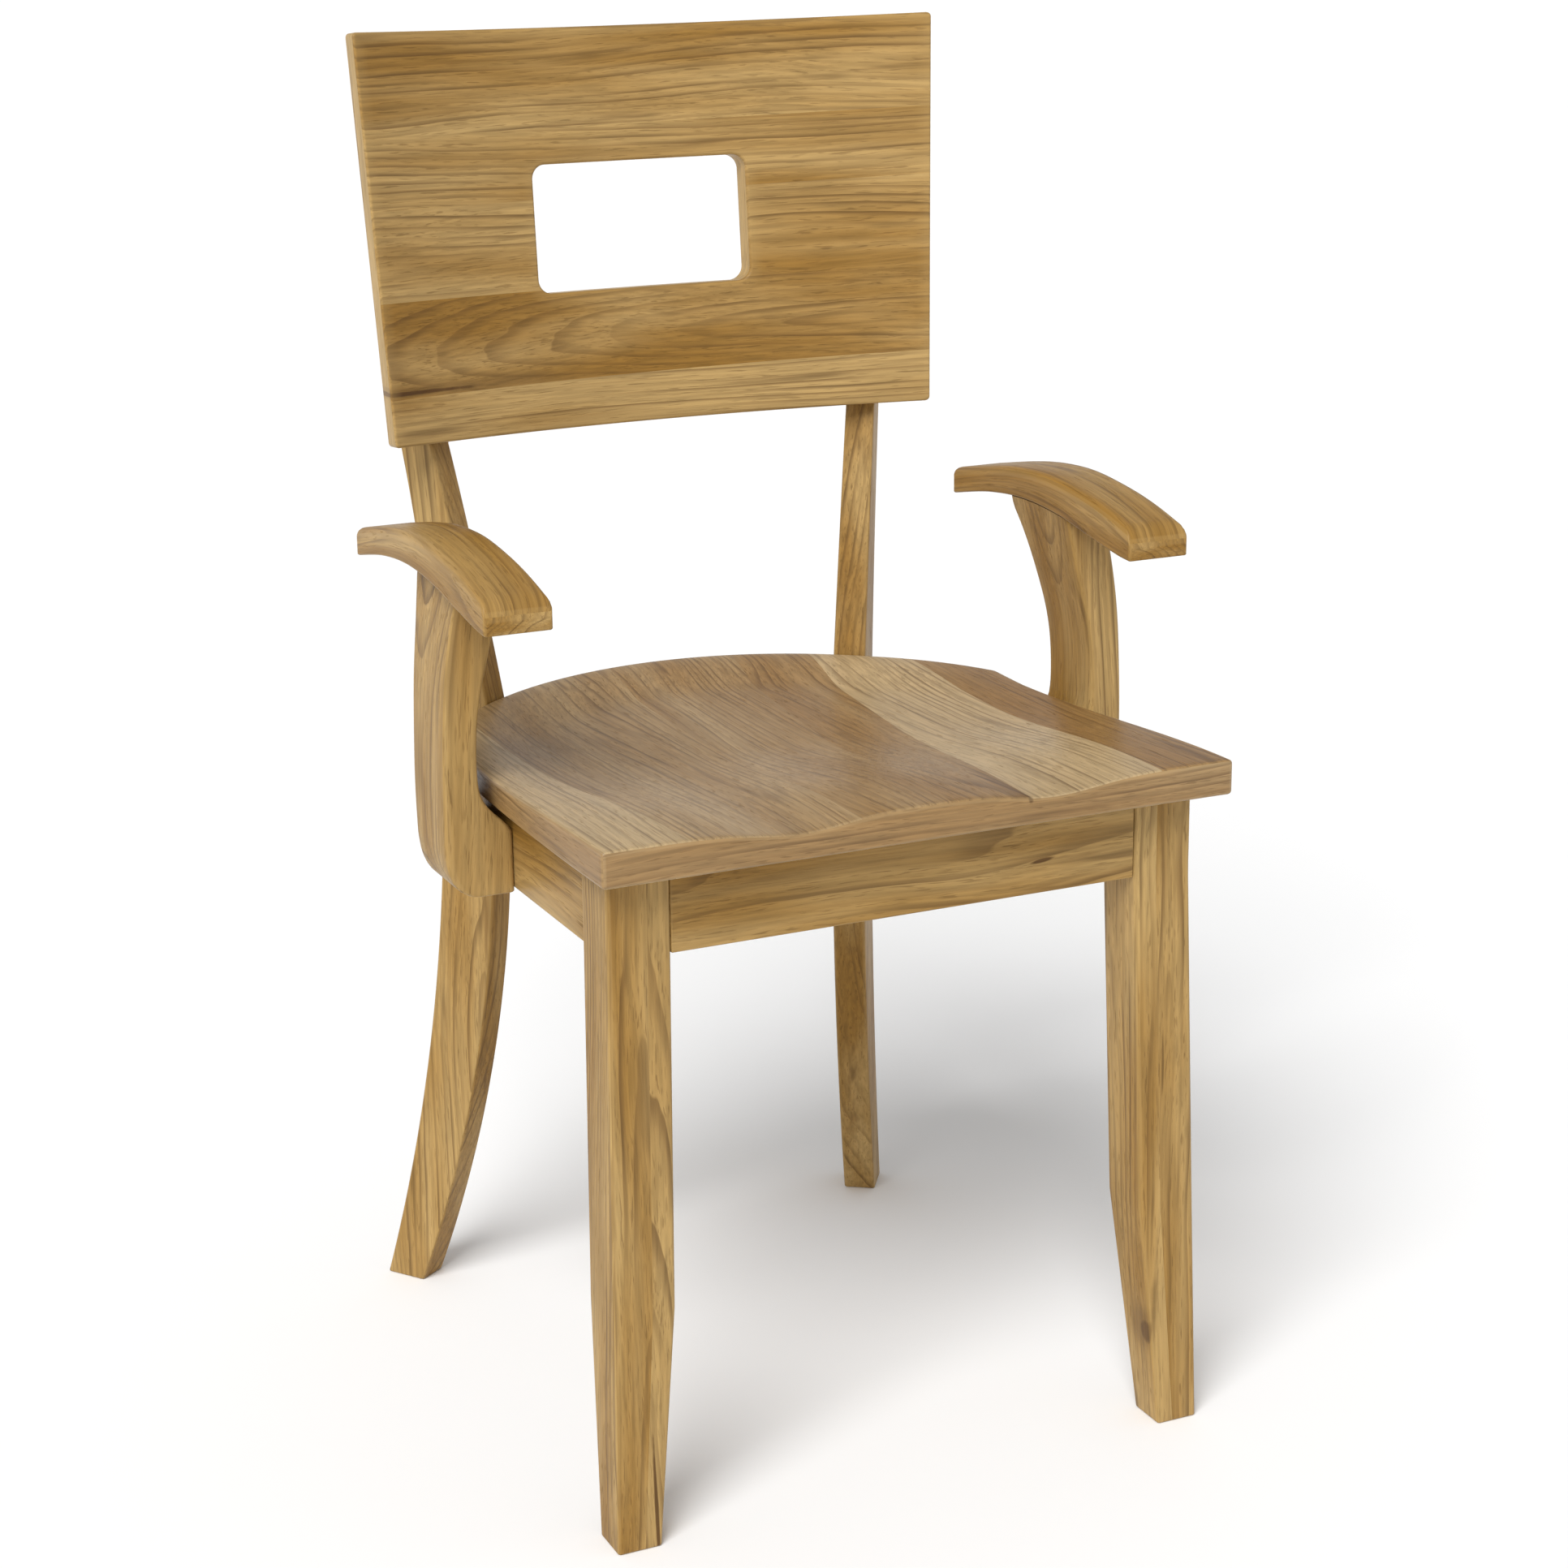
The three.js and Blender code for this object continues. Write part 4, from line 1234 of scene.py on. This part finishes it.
# %% The tree that sets fasteners
def setting_tree():
    tree = bpy.data.node_groups.new("set_fasteners", "GeometryNodeTree")
    face = tree.interface
    for name, kind in (
        ("Geometry", "NodeSocketGeometry"), ("Fastener", "NodeSocketObject"),
        ("Size", "NodeSocketFloat"), ("Metal", "NodeSocketMaterial"),
    ):
        face.new_socket(name, in_out="INPUT", socket_type=kind)
    face.new_socket("Geometry", in_out="OUTPUT", socket_type="NodeSocketGeometry")
    nodes, links = tree.nodes, tree.links
    inlet, outlet = nodes.new("NodeGroupInput"), nodes.new("NodeGroupOutput")
    shape = nodes.new("GeometryNodeObjectInfo")
    stored = nodes.new("GeometryNodeInputNamedAttribute")
    stored.data_type = "FLOAT_VECTOR"
    stored.inputs["Name"].default_value = "points_along"
    turn = nodes.new("FunctionNodeAlignRotationToVector")
    turn.axis = "Z"
    place = nodes.new("GeometryNodeInstanceOnPoints")
    real = nodes.new("GeometryNodeRealizeInstances")
    coat = nodes.new("GeometryNodeSetMaterial")
    links.new(inlet.outputs["Fastener"], shape.inputs["Object"])
    links.new(stored.outputs["Attribute"], turn.inputs["Vector"])
    links.new(inlet.outputs["Geometry"], place.inputs["Points"])
    links.new(shape.outputs["Geometry"], place.inputs["Instance"])
    links.new(turn.outputs["Rotation"], place.inputs["Rotation"])
    links.new(inlet.outputs["Size"], place.inputs["Scale"])
    links.new(place.outputs["Instances"], real.inputs["Geometry"])
    links.new(real.outputs["Geometry"], coat.inputs["Geometry"])
    links.new(inlet.outputs["Metal"], coat.inputs["Material"])
    links.new(coat.outputs["Geometry"], outlet.inputs[0])
    return tree


setter = setting_tree()
print("the setting tree has", len(setter.nodes), "nodes")


def set_fasteners(name, nodes, template, material):
    """One mesh with a copy of the template at each packed fastener, in its place."""
    found = [axis_of(node) for node in nodes]
    mesh = bpy.data.meshes.new(name)
    mesh.from_pydata([tuple(start) for start, _, _ in found], [], [])
    way = mesh.attributes.new("points_along", "FLOAT_VECTOR", "POINT")
    way.data.foreach_set("vector", [c for _, direction, _ in found for c in direction])
    points = bpy.data.objects.new(name + "_points", mesh)
    bpy.context.scene.collection.objects.link(points)
    modifier = points.modifiers.new("set", "NODES")
    modifier.node_group = setter
    socket = {item.name: item.identifier for item in setter.interface.items_tree if item.in_out == "INPUT"}
    modifier[socket["Fastener"]] = template
    modifier[socket["Size"]] = 1.0
    modifier[socket["Metal"]] = material
    graph = bpy.context.evaluated_depsgraph_get()
    result = bpy.data.meshes.new_from_object(points.evaluated_get(graph))
    result.name = name
    if not result.materials:
        result.materials.append(material)
    piece = bpy.data.objects.new(name, result)
    bpy.context.scene.collection.objects.link(piece)
    points.modifiers.clear()
    bpy.data.objects.remove(points)
    bpy.data.objects.remove(template)
    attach(piece, "root")
    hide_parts(*nodes)
    print(name, "sets", len(nodes), "with", len(result.polygons), "faces")


# %% [markdown]
# ## Shapes of the fasteners
#
# Each fastener is a profile turned about its axis. The profile runs from the centre of the
# head to the point; a screw's thread is a row of ridges, and a dowel has flutes that let
# glue past.

# %% Turned fasteners
def turned(name, profile, segments=20, flute=0.0):
    """A solid of revolution about Z from (radius, height) pairs in millimetres."""
    body = bmesh.new()
    rings = []
    for radius, z in profile:
        if radius == 0:
            rings.append([body.verts.new((0, 0, z * mm))])
            continue
        ring = []
        for i in range(segments):
            angle = 2 * math.pi * i / segments
            r = (radius - (flute if i % 2 else 0)) * mm
            ring.append(body.verts.new((r * math.cos(angle), r * math.sin(angle), z * mm)))
        rings.append(ring)
    for a, b in zip(rings, rings[1:]):
        for i in range(segments):
            j = (i + 1) % segments
            corners = [a[i % len(a)], a[j % len(a)], b[j % len(b)], b[i % len(b)]]
            body.faces.new(list(dict.fromkeys(corners)))
    bmesh.ops.recalc_face_normals(body, faces=body.faces)
    mesh = bpy.data.meshes.new(name)
    body.to_mesh(mesh)
    body.free()
    mesh.shade_smooth()
    mesh.set_sharp_from_angle(angle=math.radians(35))
    template = bpy.data.objects.new(name, mesh)
    bpy.context.scene.collection.objects.link(template)
    return template


def screw_profile(length):
    dome = 1.2
    profile = [(0, 0.1), (1.1, 0.1), (1.25, -dome), (2.6, -0.8), (4.2, 0), (2.1, 2.1)]
    z = 5.0
    while z < length - 5:
        profile += [(1.5, z), (2.1, z + 0.7), (1.5, z + 1.4)]
        z += 2.1
    return profile + [(1.3, length - 4), (0, length)]


def dowel_profile(length):
    return [(0, 0), (3.2, 0), (4, 1), (4, length - 1), (3.2, length), (0, length)]


def bolt_profile(length):
    head = [(0, 0.4), (2.2, 0.4), (2.4, 0), (5.2, 0), (6.4, 1), (6.5, 3.1), (3.2, 3.1)]
    return head + [(3.2, length - 1), (2.6, length), (0, length)]


print("a 40 mm screw has", len(screw_profile(40)), "points in its profile")


# %% [markdown]
# ## Steel
#
# Zinc-plated steel is a metal with a fine mottled roughness. A little noise in the
# roughness and the colour is what keeps it from looking like plastic.

# %% Steel
def plated_steel():
    material = bpy.data.materials.new("plated_steel")
    material.use_nodes = True
    tree = material.node_tree
    w = Wiring(tree)
    shader = tree.nodes["Principled BSDF"]
    place = w.node("ShaderNodeTexCoord").outputs["Object"]
    mottle = w.noise(w.stretched(place, (900, 900, 900)), detail=3)
    colour = w.mix(mottle, (0.42, 0.42, 0.40, 1), (0.62, 0.61, 0.57, 1))
    tree.links.new(colour, shader.inputs["Base Color"])
    tree.links.new(w.ramp(mottle, 0.3, 0.7, 0.28, 0.42), shader.inputs["Roughness"])
    shader.inputs["Metallic"].default_value = 1.0
    return material


steel = plated_steel()
print("steel material:", steel.name)


# %% [markdown]
# ## All the fasteners
#
# Screws hold what may be taken apart, and bolts take the strain of the rear legs. Dowels
# are glued. One list names each group, so that a group is made in one way.

# %% Set every fastener
def both_sides(pattern, *words):
    names = []
    for label, _ in sides_of_chair:
        names += [pattern.format(side=label, word=word) for word in words]
    return names


SCREWS = (
    ("support_screws", both_sides("support_screw_{side}_{word}", "front", "rear")),
    ("front_block_screws", both_sides("front_block_screw_{side}_{word}", "front", "side")),
    ("rear_block_screws", both_sides("rear_block_screw_{side}_{word}", "side", "rear")),
    ("front_seat_screws", both_sides("seat_screw_{side}_{word}", "front")),
    ("rear_seat_screws", both_sides("seat_screw_{side}_{word}", "rear")),
    ("panel_screws", both_sides("panel_screw_{side}_{word}", "low", "high")),
)
for name, nodes in SCREWS:
    length = axis_of(nodes[0])[2] / mm
    set_fasteners(name, nodes, turned(name + "_shape", screw_profile(length)), steel)

bolts = both_sides("post_bolt_{side}_{word}", "low", "high")
length = axis_of(bolts[0])[2] / mm
set_fasteners("post_bolts", bolts, turned("bolt_shape", bolt_profile(length)), steel)

DOWELS = (
    ("apron_dowels", both_sides("front_apron_dowel_{side}_{word}", "low", "high")
     + both_sides("side_apron_dowel_{side}_{word}", "low", "high")),
    ("arm_dowels", both_sides("arm_dowel_{side}_{word}", "front", "rear")),
)
for name, nodes in DOWELS:
    length = axis_of(nodes[0])[2] / mm
    template = turned(name + "_shape", dowel_profile(length), 24, 0.3)
    set_fasteners(name, nodes, template, block_wood)


# %% [markdown]
# ## Floor and light
#
# A plain pale floor and a white surround act as a studio. The surround is bright at the
# height of the walls and dimmer overhead, and a wide soft light from the front left gives
# the shape. The floor and the walls come out equally white, so no horizon shows.

# %% Studio
def studio_floor():
    mesh = bpy.data.meshes.new("floor")
    reach = 60
    corners = [(-reach, -reach, 0), (reach, -reach, 0), (reach, reach, 0), (-reach, reach, 0)]
    mesh.from_pydata(corners, [], [(0, 1, 2, 3)])
    floor = bpy.data.objects.new("floor", mesh)
    bpy.context.scene.collection.objects.link(floor)
    material = bpy.data.materials.new("pale_floor")
    material.use_nodes = True
    shader = material.node_tree.nodes["Principled BSDF"]
    shader.inputs["Base Color"].default_value = (0.93, 0.93, 0.93, 1)
    shader.inputs["Roughness"].default_value = 1.0
    shader.inputs["Specular IOR Level"].default_value = 0.0
    mesh.materials.append(material)


def soft_sun(name, place, strength, angle):
    """A sun shines evenly on the whole floor; a wide angle makes it a soft lamp."""
    light = bpy.data.lights.new(name, "SUN")
    light.energy = strength
    light.angle = math.radians(angle)
    holder = bpy.data.objects.new(name, light)
    holder.location = place
    holder.rotation_euler = (-Vector(place)).to_track_quat("-Z", "Y").to_euler()
    bpy.context.scene.collection.objects.link(holder)


studio_floor()
soft_sun("key_light", (-2.3, -2.3, 3.3), 2.75, 32)
world = bpy.data.worlds.new("surround")
bpy.context.scene.world = world
world.use_nodes = True
sky = Wiring(world.node_tree)
direction = sky.node("ShaderNodeTexCoord").outputs["Generated"]
height = sky.node("ShaderNodeSeparateXYZ", direction).outputs[2]
backdrop = world.node_tree.nodes["Background"]
world.node_tree.links.new(sky.ramp(height, 0.05, 0.3, 1.05, 0.48), backdrop.inputs["Strength"])
backdrop.inputs["Color"].default_value = (1, 1, 1, 1)
bpy.context.scene.view_settings.view_transform = "Standard"
